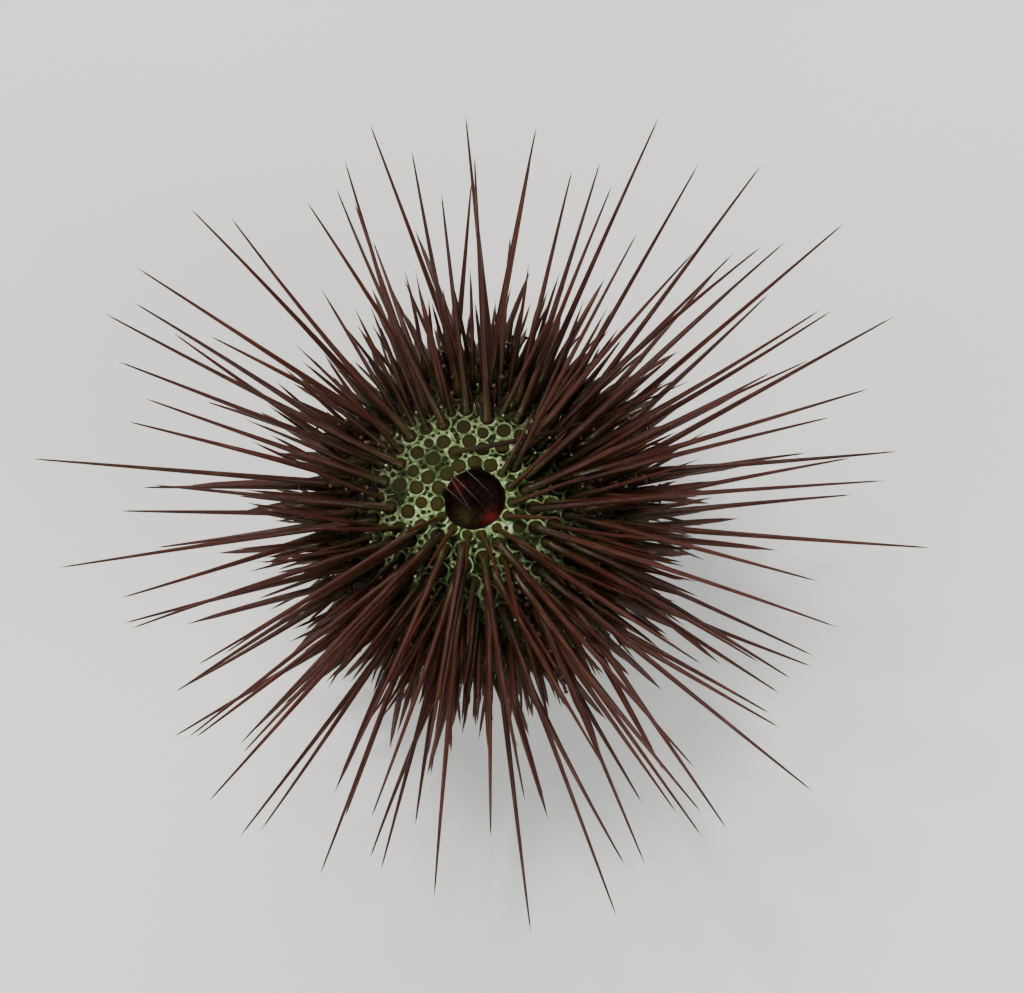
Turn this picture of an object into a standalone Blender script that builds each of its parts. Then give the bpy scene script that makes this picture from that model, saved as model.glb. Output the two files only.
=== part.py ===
"""Needle-spined burrowing sea urchin, life size, standing on the flats of its lower spines.

The shell is one turned form, parted into five ambulacra and five interambulacra. Each carries its own
columns of spines: long needles fanned out over the flattened top, short stout spines down the sides, and
standing spines round the mouth. The anal field and its ring of plates close the top, and the mouth skin and
the jaws close the underside. Metres, +Z up, with the origin on the floor under the middle of the outline.
"""

import math
import random

import bmesh
import bpy
import numpy as np
from mathutils import Matrix, Vector

MM = 0.001

# Driving sizes of the shell
TEST_RADIUS = 15.0 * MM
TEST_HEIGHT = 17.0 * MM
AMBITUS_SHARE = 0.58  # height of the widest ring, as a share of the shell's height
TOP_SQUARENESS = 2.7  # 2 is an ellipse, more is a flatter top with a tighter shoulder
STANDING_HEIGHT = 3.4 * MM  # floor to the rim of the mouth
MOUTH_RADIUS = 6.2 * MM
MERIDIAN_SAMPLES = 400
ANAL_RADIUS = 2.7 * MM
PLATE_RING_RADIUS = 3.95 * MM
SEAM_GAP = 0.3 * MM
CORE_RADIUS = 1.2 * MM  # the wedges of the shell end here, short of the axis
TOP_RECESS = 2.6 * MM
MOUTH_RECESS = 3.0 * MM
TURNED_STEPS = 60
MERIDIAN_RINGS = 12

# The plate ring and the anal field, which close the top
PLUG_STEPS = 30
GENITAL_ANGLE = math.radians(42)
GENITAL_STEPS = 5
OCULAR_ANGLE = math.radians(22)
OCULAR_STEPS = 3
GENITAL_RISE = 0.4 * MM
OCULAR_RISE = 0.25 * MM
SIEVE_PLATE = "interambulacrum_1"
SIEVE_PLATE_RISE = 0.55 * MM  # the genital plate that lets water in stands a little prouder
PLATE_INSET = 0.1 * MM
PLATE_ROOT = 0.4 * MM
RING_SINK = 0.15 * MM  # the ring between its plates lies this far under the shell's top
RING_SPINE_LENGTH = 8.5 * MM
RING_SPINE_TILT = math.radians(40)
ANAL_PROFILE_MM = (  # radius, and height over the shell's top: the anus, its cone, the dish and the rim
    (0.0, -0.25), (0.3, 0.05), (0.85, -0.45), (1.9, -0.4), (2.5, 0.0), (2.7, -0.15)
)

# The mouth skin and the jaws, which close the underside
JAW_RADIUS = 2.2 * MM
MOUTH_SKIN_PROFILE_MM = (  # radius, and height over the rim of the mouth
    (2.5, 0.2), (3.1, -0.4), (4.1, -0.5), (5.4, 0.0), (5.9, 0.5)
)
JAW_PROFILE_MM = ((0.0, -0.3), (1.3, -0.1), (2.2, 0.6))
MOUTH_FOOT_RADII = (0.42 * MM, 0.32 * MM)
MOUTH_FOOT_SIDES = 8
MOUTH_FOOT_LENGTH = 1.0 * MM
MOUTH_FOOT_RING = 4.1 * MM
MOUTH_FOOT_HEIGHT = -0.5 * MM
MOUTH_FEET_APART = 1.5 * MM
TOOTH_LENGTH = 2.6 * MM
TOOTH_RADII = (0.5 * MM, 0.18 * MM)
TOOTH_SIDES = 4
TOOTH_RING = 1.05 * MM
TOOTH_HEIGHT = -0.5 * MM
TOOTH_LEAN = math.radians(20)

# Sectors
SECTORS = 5
AMBULACRUM_ANGLE = math.radians(28)
INTERAMBULACRUM_ANGLE = math.radians(360 / SECTORS) - AMBULACRUM_ANGLE
FIRST_AMBULACRUM = math.radians(90)

# Rows and columns of spines. Shares of the way down run from the plate ring at 0 to the mouth at 1.
FIRST_ROW_RADIUS = 4.8 * MM
ROW_STEP_NARROW = 1.45 * MM
ROW_STEP_WIDE = 2.35 * MM
ROW_CROWDING = 1.15  # the steps are narrow again this much before the mouth
COLUMN_PLACE = 0.25  # of a sector's angle, on each side of its middle
COLUMN_STAGGER = 0.5  # of a row's step
COLUMN_ZIGZAG = 0.06  # of a sector's angle, by which a column's spines stand off it to both sides in turn
SMALL_STAGGER = 0.75
SMALL_SPINES_START = 0.3
SMALL_SPINES_END = 0.9
RING_SPINE_PLACE = 0.26  # of a genital plate's angle, on each side of its middle
BARE_CROWN_RADIUS = 7.3 * MM  # nearer the middle than this, on these bearings, bases carry no long spine
BARE_CROWN_BEARINGS = (math.radians(52), math.radians(192))

# Spines. The tables run from the plate ring at 0 down to the mouth at 1, in millimetres or degrees.
LENGTH_MM = (
    (0.0, 31.5), (0.15, 32.5), (0.28, 30.0), (0.38, 22.0), (0.47, 13.0), (0.56, 9.0), (0.75, 7.5), (1.0, 6.0)
)
LEAN_DEG = ((0.0, 44.0), (0.2, 42.0), (0.33, 24.0), (0.45, 16.0), (0.6, 14.0), (0.8, 6.0), (1.0, -12.0))
BASE_RADIUS_MM = ((0.0, 0.43), (0.4, 0.45), (0.6, 0.48), (1.0, 0.42))
REACH_BY_BEARING = (  # every 30 degrees from +X
    1.08, 1.04, 0.94, 0.86, 0.90, 0.90, 0.95, 0.95, 0.98, 0.99, 1.05, 1.05
)
LONG_SPINES_END = 0.45
LONG_SPINES_PLAY = (0.74, 1.05)
SHORT_SPINES_PLAY = (0.88, 1.08)
SMALL_SPINES_PLAY = (0.8, 1.15)
STANDING_SPINES_START = 0.76
NECK_SHARE = 0.8  # along a spine, where its shaft gives way to the point
NECK_RADIUS = 0.26 * MM
BLUNT_RADIUS = 0.1 * MM
SMALL_RADIUS = 0.29 * MM
SMALL_LENGTH = 5.0 * MM
ROOT_DEPTH = 0.9 * MM
CLEARANCE = 0.34 * MM
FLOOR_CLEARANCE = 0.5 * MM
TILT_PLAY = math.radians(9)
BEARING_PLAY = math.radians(15)
MOST_TRIES = 80
CHOICES = 20  # clear ways that are weighed for a spine, of which it takes the one with the most room round it
FAN_REACH = 17.0 * MM  # how far out along the spines that room is measured
FAN_FLATNESS = 0.35  # weight of height against plan in it, because the fan has to look even from above
LONG_SPINE_SIDES = 5
SHORT_SPINE_SIDES = 4
SHORT_LENGTH = 15.0 * MM
SEED = 1863

DARK_MAROON = (0.055, 0.018, 0.016, 1)
ANAL_MAROON = (0.03, 0.008, 0.010, 1)
PLATE_OLIVE = (0.16, 0.15, 0.085, 1)
MOUTH_BROWN = (0.12, 0.055, 0.045, 1)
TOOTH_WHITE = (0.75, 0.72, 0.64, 1)


def clear_scene():
    for thing in list(bpy.data.objects):
        bpy.data.objects.remove(thing)


def read_table(table, share):
    """Straight-line reading of a table of (share, value) pairs."""
    shares, values = zip(*table)
    return float(np.interp(share, shares, values))


class Meridian:
    """The shell's outline from the top of its axis to the rim of the mouth, measured along its length."""

    def __init__(self):
        ambitus = TEST_HEIGHT * AMBITUS_SHARE
        rim_angle = math.acos(MOUTH_RADIUS / TEST_RADIUS)
        below = ambitus / math.sin(rim_angle)
        above = TEST_HEIGHT - ambitus
        power = 2 / TOP_SQUARENESS
        radii, heights = [], []
        for angle in np.linspace(math.pi / 2, -rim_angle, MERIDIAN_SAMPLES):
            if angle >= 0:
                radii.append(TEST_RADIUS * max(math.cos(angle), 0.0) ** power)
                heights.append(ambitus + above * math.sin(angle) ** power)
            else:
                radii.append(TEST_RADIUS * math.cos(angle))
                heights.append(ambitus - below * math.sin(-angle))
        self.radii = np.array(radii)
        self.heights = np.array(heights) + STANDING_HEIGHT
        steps = np.hypot(np.diff(self.radii), np.diff(self.heights))
        self.lengths = np.concatenate([[0.0], np.cumsum(steps)])

    def point(self, length):
        return (
            float(np.interp(length, self.lengths, self.radii)),
            float(np.interp(length, self.lengths, self.heights)),
        )

    def normal_tilt(self, length):
        """Angle of the outward normal from straight up."""
        reach = TEST_RADIUS / MERIDIAN_SAMPLES * 5
        r0, z0 = self.point(length - reach)
        r1, z1 = self.point(length + reach)
        return math.atan2(z0 - z1, r1 - r0)

    def length_at_radius(self, radius):
        """Length down to this radius, on the top of the shell."""
        top = self.heights > self.heights[-1] + TEST_HEIGHT * AMBITUS_SHARE
        return float(np.interp(radius, self.radii[top], self.lengths[top]))


MERIDIAN = Meridian()


def bearing(azimuth, tilt):
    """Unit vector that leans by tilt from straight up, towards azimuth."""
    return Vector((math.sin(tilt) * math.cos(azimuth), math.sin(tilt) * math.sin(azimuth), math.cos(tilt)))


def sectors():
    """(name, middle azimuth, angle) of the ten wedges of the shell."""
    for k in range(SECTORS):
        middle = FIRST_AMBULACRUM + k * 2 * math.pi / SECTORS
        yield f"ambulacrum_{k + 1}", middle, AMBULACRUM_ANGLE
        yield f"interambulacrum_{k + 1}", middle + math.pi / SECTORS, INTERAMBULACRUM_ANGLE


def row_lengths():
    """Lengths down the meridian of the rows of spines, closer together at both ends."""
    start = MERIDIAN.length_at_radius(FIRST_ROW_RADIUS)
    end = MERIDIAN.lengths[-1] - ROW_STEP_NARROW / 2
    rows = [start]
    while True:
        share = (rows[-1] - start) / (end - start)
        widening = math.sin(math.pi * min(share * ROW_CROWDING, 1.0))
        step = ROW_STEP_NARROW + (ROW_STEP_WIDE - ROW_STEP_NARROW) * widening
        if rows[-1] + step > end:
            return rows, start, end
        rows.append(rows[-1] + step)


def spine_sites():
    """Where each spine grows: node, kind, length down the meridian, share of the way, and azimuth.

    Two staggered columns of full spines run down each sector, with small ones between them, and the plate
    ring carries a few of its own.
    """
    rows, start, end = row_lengths()
    found = []
    for name, middle, angle in sectors():
        for side in (-1, 1) if name.startswith("inter") else (0,):
            azimuth = middle + side * GENITAL_ANGLE * RING_SPINE_PLACE
            found.append(("apical_plates", "ring", 0.0, 0.0, azimuth))
    for number, length in enumerate(rows):
        step = (rows[number + 1] - length) if number + 1 < len(rows) else ROW_STEP_NARROW
        for name, middle, angle in sectors():
            for column in (-1, 1):
                down = length + (step * COLUMN_STAGGER if column > 0 else 0)
                if down < end:
                    azimuth = middle + column * angle * COLUMN_PLACE
                    azimuth += angle * COLUMN_ZIGZAG * (1 if number % 2 else -1)
                    found.append((name, "full", down, (down - start) / (end - start), azimuth))
            down = length + step * SMALL_STAGGER
            share = (down - start) / (end - start)
            if SMALL_SPINES_START < share < SMALL_SPINES_END:
                found.append((name, "small", down, share, middle))
    return found


def gaps_to(start, end, starts, ends):
    """Closest distance from one segment to many, and how far along each the closest points are."""
    d1 = end - start
    d2 = ends - starts
    r = start - starts
    a = d1 @ d1
    e = (d2 * d2).sum(1)
    f = (d2 * r).sum(1)
    c = r @ d1
    b = d2 @ d1
    across = np.maximum(a * e - b * b, 1e-18)
    s = np.clip((b * f - c * e) / across, 0, 1)
    t = np.clip((b * s + f) / e, 0, 1)
    s = np.clip((b * t - c) / a, 0, 1)
    apart = r + np.outer(s, d1) - d2 * t[:, None]
    return np.sqrt((apart * apart).sum(1)), s, t


def thickness(share, radius):
    """Radius of a spine at a share of its length, for one spine or for an array of them."""
    neck = np.minimum(radius, NECK_RADIUS)
    shaft = radius + (neck - radius) * share / NECK_SHARE
    point = neck + (BLUNT_RADIUS - neck) * (share - NECK_SHARE) / (1 - NECK_SHARE)
    return np.where(share < NECK_SHARE, shaft, point)


def reach_towards(aim):
    """How far the long spines on this bearing reach, against the usual."""
    turn = aim / (2 * math.pi) % 1 * len(REACH_BY_BEARING)
    return float(np.interp(turn, range(len(REACH_BY_BEARING) + 1), REACH_BY_BEARING + REACH_BY_BEARING[:1]))


def proposed_spine(site, draw):
    """One spine at a site, leaning from the normal by its place on the shell, with a little play."""
    name, kind, down, share, azimuth = site
    if kind == "ring":
        radius, height = (ANAL_RADIUS + SEAM_GAP + PLATE_RING_RADIUS) / 2, top_height()
        tilt = RING_SPINE_TILT
    else:
        radius, height = MERIDIAN.point(down)
        tilt = MERIDIAN.normal_tilt(down) + math.radians(read_table(LEAN_DEG, share))
    base = Vector((radius * math.cos(azimuth), radius * math.sin(azimuth), height))
    aim = azimuth + draw.uniform(-1, 1) * BEARING_PLAY
    way = bearing(aim, tilt + draw.uniform(-1, 1) * TILT_PLAY)
    thick = SMALL_RADIUS
    if kind == "ring":
        length = RING_SPINE_LENGTH * draw.uniform(*SMALL_SPINES_PLAY)
    elif kind == "small":
        length = SMALL_LENGTH * draw.uniform(*SMALL_SPINES_PLAY)
    else:
        thick = read_table(BASE_RADIUS_MM, share) * MM
        play = LONG_SPINES_PLAY if share < LONG_SPINES_END else SHORT_SPINES_PLAY
        length = read_table(LENGTH_MM, share) * draw.uniform(*play) * MM
    if share < LONG_SPINES_END and kind == "full":
        length *= reach_towards(aim)
    if kind == "full" and share > STANDING_SPINES_START:
        length = base.z / -way.z + FLOOR_CLEARANCE
    elif way.z < 0:
        length = min(length, (base.z - FLOOR_CLEARANCE) / -way.z)
    return {"node": name, "base": base, "way": way, "length": length, "radius": thick}


def on_bare_crown(spine):
    start, end = BARE_CROWN_BEARINGS
    base = spine["base"]
    return base.xy.length < BARE_CROWN_RADIUS and start < math.atan2(base.y, base.x) % (2 * math.pi) < end


def fan_point(spine):
    """A point some way out along a spine, on a flattened scale of heights."""
    point = spine["base"] + spine["way"] * FAN_REACH
    return np.array((point.x, point.y, point.z * FAN_FLATNESS))


def settled_spines():
    """Every spine, turned clear of those set before it and as far from them as its choices allow.

    One that never clears is left out.
    """
    draw = random.Random(SEED)
    kept, starts, ends, radii, fan = [], [], [], [], []
    for site in spine_sites():
        best, most_room, choices = None, -1.0, 0
        for _ in range(MOST_TRIES):
            spine = proposed_spine(site, draw)
            start = np.array(spine["base"])
            end = start + np.array(spine["way"]) * spine["length"]
            if starts:
                apart, along, others_along = gaps_to(start, end, np.array(starts), np.array(ends))
                both = thickness(along, spine["radius"]) + thickness(others_along, np.array(radii))
                if (apart < both + CLEARANCE).any():
                    continue
            room = np.linalg.norm(np.array(fan) - fan_point(spine), axis=1).min() if fan else 0.0
            if room > most_room:
                best, most_room, best_end = spine, room, end
            choices += 1
            if choices == CHOICES:
                break
        if best:
            kept.append(best)
            starts.append(np.array(best["base"]))
            ends.append(best_end)
            radii.append(best["radius"])
            fan.append(fan_point(best))
    return [spine for spine in kept if not on_bare_crown(spine)]


def linked_collection(name):
    made = bpy.data.collections.new(name)
    bpy.context.scene.collection.children.link(made)
    return made


def object_from(bm, name, collection):
    mesh = bpy.data.meshes.new(name)
    bm.to_mesh(mesh)
    bm.free()
    made = bpy.data.objects.new(name, mesh)
    collection.objects.link(made)
    return made


def material(name, colour, roughness):
    made = bpy.data.materials.new(name)
    made.use_nodes = True
    shader = made.node_tree.nodes["Principled BSDF"]
    shader.inputs["Base Color"].default_value = colour
    shader.inputs["Roughness"].default_value = roughness
    made.diffuse_color = colour
    return made


def keep_side(bm, point, outward):
    """Cuts away what lies beyond a plane and closes the cut."""
    everything = bm.verts[:] + bm.edges[:] + bm.faces[:]
    bmesh.ops.bisect_plane(bm, geom=everything, plane_co=point, plane_no=outward, clear_outer=True)
    bmesh.ops.holes_fill(bm, edges=[edge for edge in bm.edges if edge.is_boundary], sides=0)


def turned(bm, outline, steps=TURNED_STEPS):
    """Turns a closed outline of (radius, height) points right round the axis."""
    corners = [bm.verts.new((radius, 0, height)) for radius, height in outline]
    ring = [
        bm.edges.new((corners[i - 1], corner))
        for i, corner in enumerate(corners)
        if corners[i - 1].co.x > 0 or corner.co.x > 0
    ]
    whole = 2 * math.pi
    bmesh.ops.spin(
        bm, geom=corners + ring, cent=(0, 0, 0), axis=(0, 0, 1), angle=whole, steps=steps, use_merge=True
    )
    bmesh.ops.remove_doubles(bm, verts=bm.verts, dist=0.001 * MM)
    bmesh.ops.recalc_face_normals(bm, faces=bm.faces)


def shell_outline():
    """Outline of the shell between the plug at the top and the plug at the mouth."""
    first = MERIDIAN.length_at_radius(PLATE_RING_RADIUS + SEAM_GAP)
    outer = [MERIDIAN.point(length) for length in np.linspace(first, MERIDIAN.lengths[-1], MERIDIAN_RINGS)]
    top, rim = outer[0], outer[-1]
    return [
        (CORE_RADIUS, rim[1] + MOUTH_RECESS),
        (CORE_RADIUS, top[1] - TOP_RECESS),
        (top[0], top[1] - TOP_RECESS),
        *outer,
        (rim[0], rim[1] + MOUTH_RECESS),
    ]


def wedge(middle, angle):
    """One sector of the shell, parted from its neighbours by flat cuts on each side."""
    bm = bmesh.new()
    turned(bm, shell_outline())
    for side in (-1, 1):
        across = middle + side * (angle / 2 + math.pi / 2)
        outward = Vector((math.cos(across), math.sin(across), 0))
        keep_side(bm, outward * (-SEAM_GAP / 2), outward)
    return bm


def spine_mesh(spine, sides):
    """A tapered spine, with its root sunk in the shell and its tip drawn to a point."""
    length = spine["length"] + ROOT_DEPTH
    neck = length * NECK_SHARE
    bm = bmesh.new()
    wide, narrow = spine["radius"], min(spine["radius"], NECK_RADIUS)
    bmesh.ops.create_cone(bm, cap_ends=True, segments=sides, radius1=wide, radius2=narrow, depth=neck)
    bmesh.ops.translate(bm, vec=(0, 0, neck / 2 - ROOT_DEPTH), verts=bm.verts)
    top = max(bm.faces, key=lambda face: face.calc_center_median().z)
    drawn = bmesh.ops.extrude_face_region(bm, geom=[top])["geom"]
    bmesh.ops.delete(bm, geom=[top], context="FACES_ONLY")
    tip = [part for part in drawn if isinstance(part, bmesh.types.BMVert)]
    bmesh.ops.translate(bm, vec=(0, 0, length - neck), verts=tip)
    bmesh.ops.pointmerge(bm, verts=tip, merge_co=(0, 0, length - ROOT_DEPTH))
    turn = spine["way"].to_track_quat("Z", "Y").to_matrix().to_4x4()
    bmesh.ops.transform(bm, matrix=Matrix.Translation(spine["base"]) @ turn, verts=bm.verts)
    bmesh.ops.recalc_face_normals(bm, faces=bm.faces)
    return bm


def keep_largest_surface(bm):
    """Deletes every surface but the one with the most faces."""
    left = set(bm.faces)
    surfaces = []
    while left:
        surface, edge_of = set(), [left.pop()]
        while edge_of:
            face = edge_of.pop()
            surface.add(face)
            for edge in face.edges:
                near = [other for other in edge.link_faces if other in left]
                left.difference_update(near)
                edge_of.extend(near)
        surfaces.append(surface)
    surfaces.sort(key=len)
    spare = [face for surface in surfaces[:-1] for face in surface]
    bmesh.ops.delete(bm, geom=spare, context="FACES")


def fuse(body, pieces):
    """Joins a collection of closed pieces to a body and removes the collection's objects."""
    join = body.modifiers.new("join", "BOOLEAN")
    join.operation = "UNION"
    join.operand_type = "COLLECTION"
    join.collection = pieces
    join.solver = "MANIFOLD"
    bpy.context.view_layer.update()
    evaluated = body.evaluated_get(bpy.context.evaluated_depsgraph_get())
    joined = bpy.data.meshes.new_from_object(evaluated)
    body.modifiers.clear()
    body.data = joined
    for piece in list(pieces.objects):
        bpy.data.objects.remove(piece)
    bpy.data.collections.remove(pieces)


def finished(body, finish, cut_at_floor=False):
    """One closed surface with its material, its standing spines cut off flat at the floor."""
    bm = bmesh.new()
    bm.from_mesh(body.data)
    keep_largest_surface(bm)
    if cut_at_floor:
        keep_side(bm, Vector((0, 0, 0)), Vector((0, 0, -1)))
    bm.to_mesh(body.data)
    bm.free()
    body.data.materials.clear()
    body.data.materials.append(finish)


def arc_block(bm, inner, outer, low, high, middle, angle, steps):
    """A block bent round the axis, such as one plate of the ring."""
    corners = [(inner, low), (outer, low), (outer, high), (inner, high)]
    start = middle - angle / 2
    flat = bm.faces.new([bm.verts.new((r * math.cos(start), r * math.sin(start), z)) for r, z in corners])
    bmesh.ops.spin(bm, geom=[flat], cent=(0, 0, 0), axis=(0, 0, 1), angle=angle, steps=steps)
    bmesh.ops.recalc_face_normals(bm, faces=bm.faces)


def top_height():
    return MERIDIAN.point(MERIDIAN.length_at_radius(PLATE_RING_RADIUS))[1]


def plug_floor():
    """Height of the underside of the pieces that close the top."""
    first = MERIDIAN.length_at_radius(PLATE_RING_RADIUS + SEAM_GAP)
    return MERIDIAN.point(first)[1] - TOP_RECESS + SEAM_GAP


def heights_over(level, profile_mm):
    """A profile in millimetres over a level, in metres."""
    return [(radius * MM, level + height * MM) for radius, height in profile_mm]


def plate_ring(spines, urchin, finish):
    """The ring of five genital plates, each over an interambulacrum, and five ocular plates between them."""
    inner, outer = ANAL_RADIUS + SEAM_GAP, PLATE_RING_RADIUS
    floor, top = plug_floor(), top_height() - RING_SINK
    bm = bmesh.new()
    turned(bm, [(inner, floor), (outer, floor), (outer, top), (inner, top)], PLUG_STEPS)
    body = object_from(bm, "apical_plates", urchin)
    pieces = linked_collection("apical_pieces")
    near, far = inner + PLATE_INSET, outer - PLATE_INSET
    for number, (name, middle, _) in enumerate(sectors()):
        bm = bmesh.new()
        if name.startswith("inter"):
            rise = SIEVE_PLATE_RISE if name == SIEVE_PLATE else GENITAL_RISE
            arc_block(bm, near, far, top - PLATE_ROOT, top + rise, middle, GENITAL_ANGLE, GENITAL_STEPS)
        else:
            arc_block(bm, near, far, top - PLATE_ROOT, top + OCULAR_RISE, middle, OCULAR_ANGLE, OCULAR_STEPS)
        object_from(bm, f"plate_{number}", pieces)
    for number, spine in enumerate(spines):
        object_from(spine_mesh(spine, SHORT_SPINE_SIDES), f"ring_spine_{number}", pieces)
    fuse(body, pieces)
    finished(body, finish)


def anal_field(urchin, finish):
    """A dished skin round a low cone with the anus in its middle."""
    outline = heights_over(top_height(), ANAL_PROFILE_MM)
    bm = bmesh.new()
    turned(bm, [*outline, (ANAL_RADIUS, plug_floor()), (0, plug_floor())], PLUG_STEPS)
    finished(object_from(bm, "anal_field", urchin), finish)


def mouth_skin(urchin, finish):
    """The soft ring between the shell and the jaws, with a pair of mouth feet under each ambulacrum."""
    level = MERIDIAN.heights[-1]
    roof = level + MOUTH_RECESS - SEAM_GAP
    outline = heights_over(level, MOUTH_SKIN_PROFILE_MM)
    bm = bmesh.new()
    turned(bm, [(outline[0][0], roof), *outline, (outline[-1][0], roof)], PLUG_STEPS)
    body = object_from(bm, "mouth_skin", urchin)
    pieces = linked_collection("mouth_feet")
    for k in range(SECTORS):
        middle = FIRST_AMBULACRUM + k * 2 * math.pi / SECTORS
        for side in (-1, 1):
            azimuth = middle + side * MOUTH_FEET_APART / 2 / MOUTH_FOOT_RING
            bm = bmesh.new()
            root, end = MOUTH_FOOT_RADII
            depth = 2 * MOUTH_FOOT_LENGTH
            bmesh.ops.create_cone(
                bm, cap_ends=True, segments=MOUTH_FOOT_SIDES, radius1=end, radius2=root, depth=depth
            )
            place = bearing(azimuth, math.pi / 2) * MOUTH_FOOT_RING
            place.z = level + MOUTH_FOOT_HEIGHT
            bmesh.ops.translate(bm, vec=place, verts=bm.verts)
            object_from(bm, f"mouth_foot_{k}_{side}", pieces)
    fuse(body, pieces)
    finished(body, finish)


def jaws(urchin, finish):
    """The end of the jaws, with five teeth that meet in the middle of the mouth."""
    level = MERIDIAN.heights[-1]
    roof = level + MOUTH_RECESS - SEAM_GAP
    outline = heights_over(level, JAW_PROFILE_MM)
    bm = bmesh.new()
    turned(bm, [(0, roof), *outline, (JAW_RADIUS, roof)], PLUG_STEPS)
    body = object_from(bm, "jaws_and_teeth", urchin)
    pieces = linked_collection("teeth")
    root, end = TOOTH_RADII
    for k in range(SECTORS):
        azimuth = FIRST_AMBULACRUM + (k + 0.5) * 2 * math.pi / SECTORS
        bm = bmesh.new()
        bmesh.ops.create_cone(
            bm, cap_ends=True, segments=TOOTH_SIDES, radius1=root, radius2=end, depth=TOOTH_LENGTH
        )
        turn = bearing(azimuth + math.pi, math.pi - TOOTH_LEAN).to_track_quat("Z", "Y").to_matrix().to_4x4()
        place = bearing(azimuth, math.pi / 2) * TOOTH_RING
        place.z = level + TOOTH_HEIGHT
        bmesh.ops.transform(bm, matrix=Matrix.Translation(place) @ turn, verts=bm.verts)
        object_from(bm, f"tooth_{k}", pieces)
    fuse(body, pieces)
    finished(body, finish)


def centre_outline(urchin):
    """Moves every piece so that the origin is on the floor under the middle of the outline."""
    corners = np.array([vert.co for thing in urchin.objects for vert in thing.data.vertices])
    middle = (corners.min(0) + corners.max(0)) / 2
    for thing in urchin.objects:
        thing.data.transform(Matrix.Translation((-middle[0], -middle[1], 0)))


def spined_sector(name, middle, angle, spines, urchin, finish):
    """One sector of the shell with its spines, the standing ones cut off flat at the floor."""
    body = object_from(wedge(middle, angle), name, urchin)
    pieces = linked_collection(name + "_spines")
    for number, spine in enumerate(spines):
        sides = LONG_SPINE_SIDES if spine["length"] > SHORT_LENGTH else SHORT_SPINE_SIDES
        object_from(spine_mesh(spine, sides), f"{name}_spine_{number}", pieces)
    fuse(body, pieces)
    finished(body, finish, cut_at_floor=True)


def main():
    clear_scene()
    urchin = linked_collection("needle_spined_urchin")
    maroon = material("maroon_skin_and_spines", DARK_MAROON, 0.45)
    spines = settled_spines()
    for name, middle, angle in sectors():
        own = [spine for spine in spines if spine["node"] == name]
        spined_sector(name, middle, angle, own, urchin, maroon)
    ring_spines = [spine for spine in spines if spine["node"] == "apical_plates"]
    plate_ring(ring_spines, urchin, material("olive_plates", PLATE_OLIVE, 0.5))
    anal_field(urchin, material("anal_maroon", ANAL_MAROON, 0.35))
    mouth_skin(urchin, material("mouth_brown", MOUTH_BROWN, 0.5))
    jaws(urchin, material("tooth_white", TOOTH_WHITE, 0.4))
    centre_outline(urchin)


main()
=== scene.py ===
"""Looks of the needle-spined sea urchin: laced skin, ridged needles, tube feet, anal field and mouth.

The spines stand where the solids' spines stand, because the layout below draws them from the same sizes and
the same seed. Metres, +Z up. The layout has the animal's own axis at X = Y = 0, and each mesh is moved to the
axis of the solids.
"""

import math
import random

import bmesh
import bpy
import numpy as np
from mathutils import Matrix, Vector, noise


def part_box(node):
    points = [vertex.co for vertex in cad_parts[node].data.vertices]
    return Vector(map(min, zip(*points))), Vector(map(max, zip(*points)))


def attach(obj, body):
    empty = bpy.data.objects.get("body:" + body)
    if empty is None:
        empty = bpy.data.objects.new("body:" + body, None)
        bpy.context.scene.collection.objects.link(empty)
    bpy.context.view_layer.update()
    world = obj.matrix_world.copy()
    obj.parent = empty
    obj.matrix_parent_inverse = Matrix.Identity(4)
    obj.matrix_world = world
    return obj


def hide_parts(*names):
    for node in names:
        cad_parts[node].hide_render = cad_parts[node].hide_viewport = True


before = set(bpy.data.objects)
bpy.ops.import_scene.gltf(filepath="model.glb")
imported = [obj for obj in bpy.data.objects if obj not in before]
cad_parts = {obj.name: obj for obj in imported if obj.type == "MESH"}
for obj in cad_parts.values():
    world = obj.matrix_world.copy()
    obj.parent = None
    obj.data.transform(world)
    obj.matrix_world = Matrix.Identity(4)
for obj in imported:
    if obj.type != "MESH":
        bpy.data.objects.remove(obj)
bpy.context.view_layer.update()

MM = 0.001

# Driving sizes of the shell
TEST_RADIUS = 15.0 * MM
TEST_HEIGHT = 17.0 * MM
AMBITUS_SHARE = 0.58  # height of the widest ring, as a share of the shell's height
TOP_SQUARENESS = 2.7  # 2 is an ellipse, more is a flatter top with a tighter shoulder
STANDING_HEIGHT = 3.4 * MM  # floor to the rim of the mouth
MOUTH_RADIUS = 6.2 * MM
MERIDIAN_SAMPLES = 400
SLOPE_REACH = TEST_RADIUS / MERIDIAN_SAMPLES * 5  # to each side of a point, between which the slope is read
ANAL_RADIUS = 2.7 * MM
PLATE_RING_RADIUS = 3.95 * MM
SEAM_GAP = 0.3 * MM

# The plate ring
GENITAL_ANGLE = math.radians(42)
OCULAR_ANGLE = math.radians(22)
RING_SPINE_LENGTH = 8.5 * MM
RING_SPINE_TILT = math.radians(40)

# Sectors
SECTORS = 5
AMBULACRUM_ANGLE = math.radians(28)
INTERAMBULACRUM_ANGLE = math.radians(360 / SECTORS) - AMBULACRUM_ANGLE
FIRST_AMBULACRUM = math.radians(90)

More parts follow.
